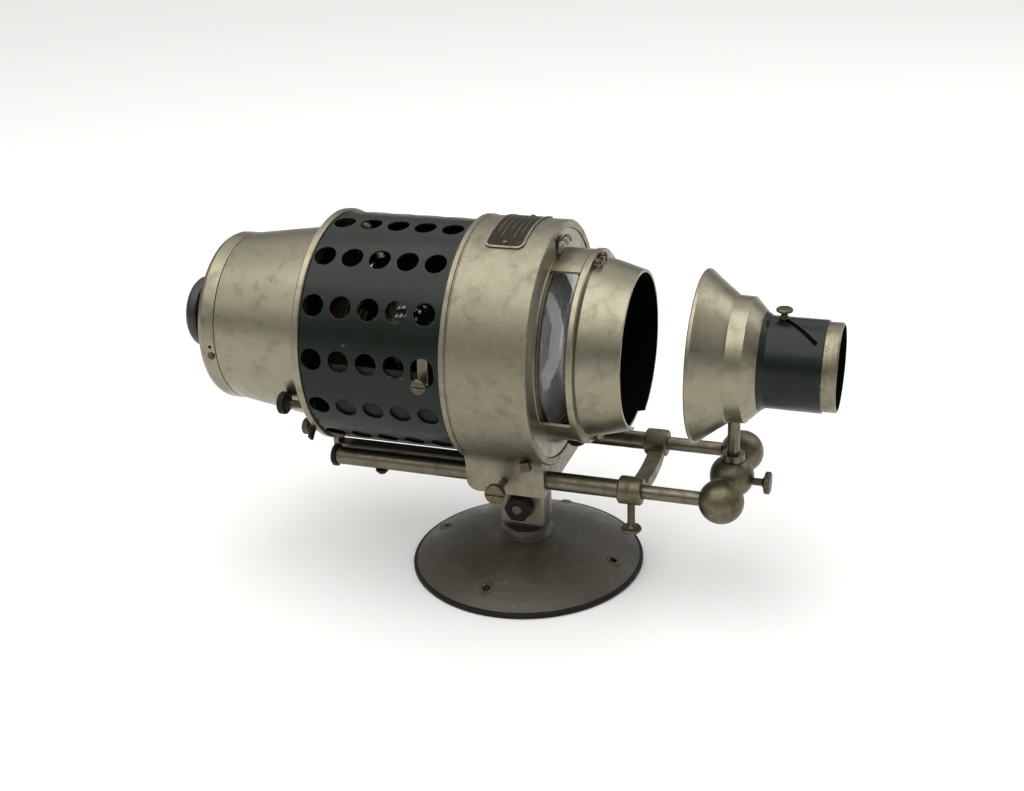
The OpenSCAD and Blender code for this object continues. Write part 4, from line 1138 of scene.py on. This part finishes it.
@dataclass
class Studio:
    """Pale floor, soft lights and the camera. Metres and degrees."""

    floor_size: float = 90.0
    floor_colour: str = "e7e7e6"
    floor_glow: float = 0.1
    camera_at: tuple[float, float, float] = (0.29406, -0.84143, 0.52655)
    camera_azimuth: float = 19.728
    camera_elevation: float = 23.983
    camera_roll: float = -2.368
    lens_mm: float = 49.21
    view_far: float = 120.0
    aim: tuple[float, float, float] = (0.0, 0.0, 0.15)
    sky_low: float = 0.1
    sky_high: float = 1.05
    skyline: float = 0.95

    def build_floor(self) -> bpy.types.Object:
        """Lays the floor.

        Returns:
            The floor.
        """
        bm = bmesh.new()
        bmesh.ops.create_grid(bm, x_segments=2, y_segments=2, size=self.floor_size / 2)
        mesh = bpy.data.meshes.new("floor")
        bm.to_mesh(mesh)
        bm.free()
        floor = bpy.data.objects.new("floor", mesh)
        bpy.context.collection.objects.link(floor)
        mat = bpy.data.materials.new("pale_paper")
        mat.use_nodes = True
        shader = mat.node_tree.nodes["Principled BSDF"]
        shader.inputs["Base Color"].default_value = linear(self.floor_colour)
        shader.inputs["Roughness"].default_value = 0.9
        shader.inputs["Specular IOR Level"].default_value = 0.1
        shader.inputs["Emission Color"].default_value = linear("ffffff")
        shader.inputs["Emission Strength"].default_value = self.floor_glow
        mesh.materials.append(mat)
        return floor

    def build_lights(self) -> None:
        """Hangs the soft boxes and sets the sky."""
        boxes = (
            ("overhead", (-0.2, -0.3, 1.9), 2.2, 26.0),
            ("left_front", (-1.6, -1.5, 1.3), 1.4, 4.0),
            ("right_back", (1.5, 1.3, 1.4), 1.2, 7.0),
        )
        for name, at, size, watts in boxes:
            lamp = bpy.data.lights.new(name, "AREA")
            lamp.shape = "SQUARE"
            lamp.size = size
            lamp.energy = watts
            box = bpy.data.objects.new(name, lamp)
            box.location = at
            box.rotation_euler = (Vector(self.aim) - Vector(at)).to_track_quat("-Z", "Y").to_euler()
            bpy.context.collection.objects.link(box)
        world = bpy.data.worlds.new("studio")
        world.use_nodes = True
        tree = world.node_tree
        way = add_node(tree, "SeparateXYZ", {0: add_node(tree, "TexCoord").outputs["Generated"]}).outputs["Z"]
        sky = tree.nodes["Background"]
        sky.inputs["Color"].default_value = linear("fdfcfa")
        dome = ramp(tree, way, 0.1, 0.75, self.sky_low, self.sky_high)
        skyline = ramp(tree, way, 0.03, 0.09, self.skyline, 0.0)
        tree.links.new(calc(tree, "MAXIMUM", dome, skyline), sky.inputs["Strength"])
        bpy.context.scene.world = world
        bpy.context.scene.view_settings.view_transform = "Standard"

    def build_camera(self) -> bpy.types.Object:
        """Stands the camera at the viewing angle.

        Returns:
            The camera.
        """
        az, el = math.radians(self.camera_azimuth), math.radians(self.camera_elevation)
        roll = math.radians(self.camera_roll)
        back = Vector((math.sin(az) * math.cos(el), -math.cos(az) * math.cos(el), math.sin(el)))
        right = Vector((math.cos(az), math.sin(az), 0))
        up = back.cross(right)
        turned_right = right * math.cos(roll) + up * math.sin(roll)
        turned_up = up * math.cos(roll) - right * math.sin(roll)
        axes = Matrix((turned_right, turned_up, back)).transposed()
        data = bpy.data.cameras.new("camera")
        data.lens = self.lens_mm
        data.sensor_width = 36.0
        data.clip_end = self.view_far
        camera = bpy.data.objects.new("camera", data)
        camera.matrix_world = Matrix.Translation(self.camera_at) @ axes.to_4x4()
        bpy.context.collection.objects.link(camera)
        bpy.context.scene.camera = camera
        return camera


def main() -> None:
    """Builds the projector's sub-assemblies in order and then the studio."""
    for kind in (Stand, TiltJoint, LampHouse, SlideStage, LampCarriage, Rails, LensCarrier, FocusBarrel):
        log.info("building %s", kind.__name__)
        kind().build()
    studio = Studio()
    studio.build_floor()
    studio.build_lights()
    studio.build_camera()


if __name__ == "__main__":
    main()
    bpy.context.view_layer.update()
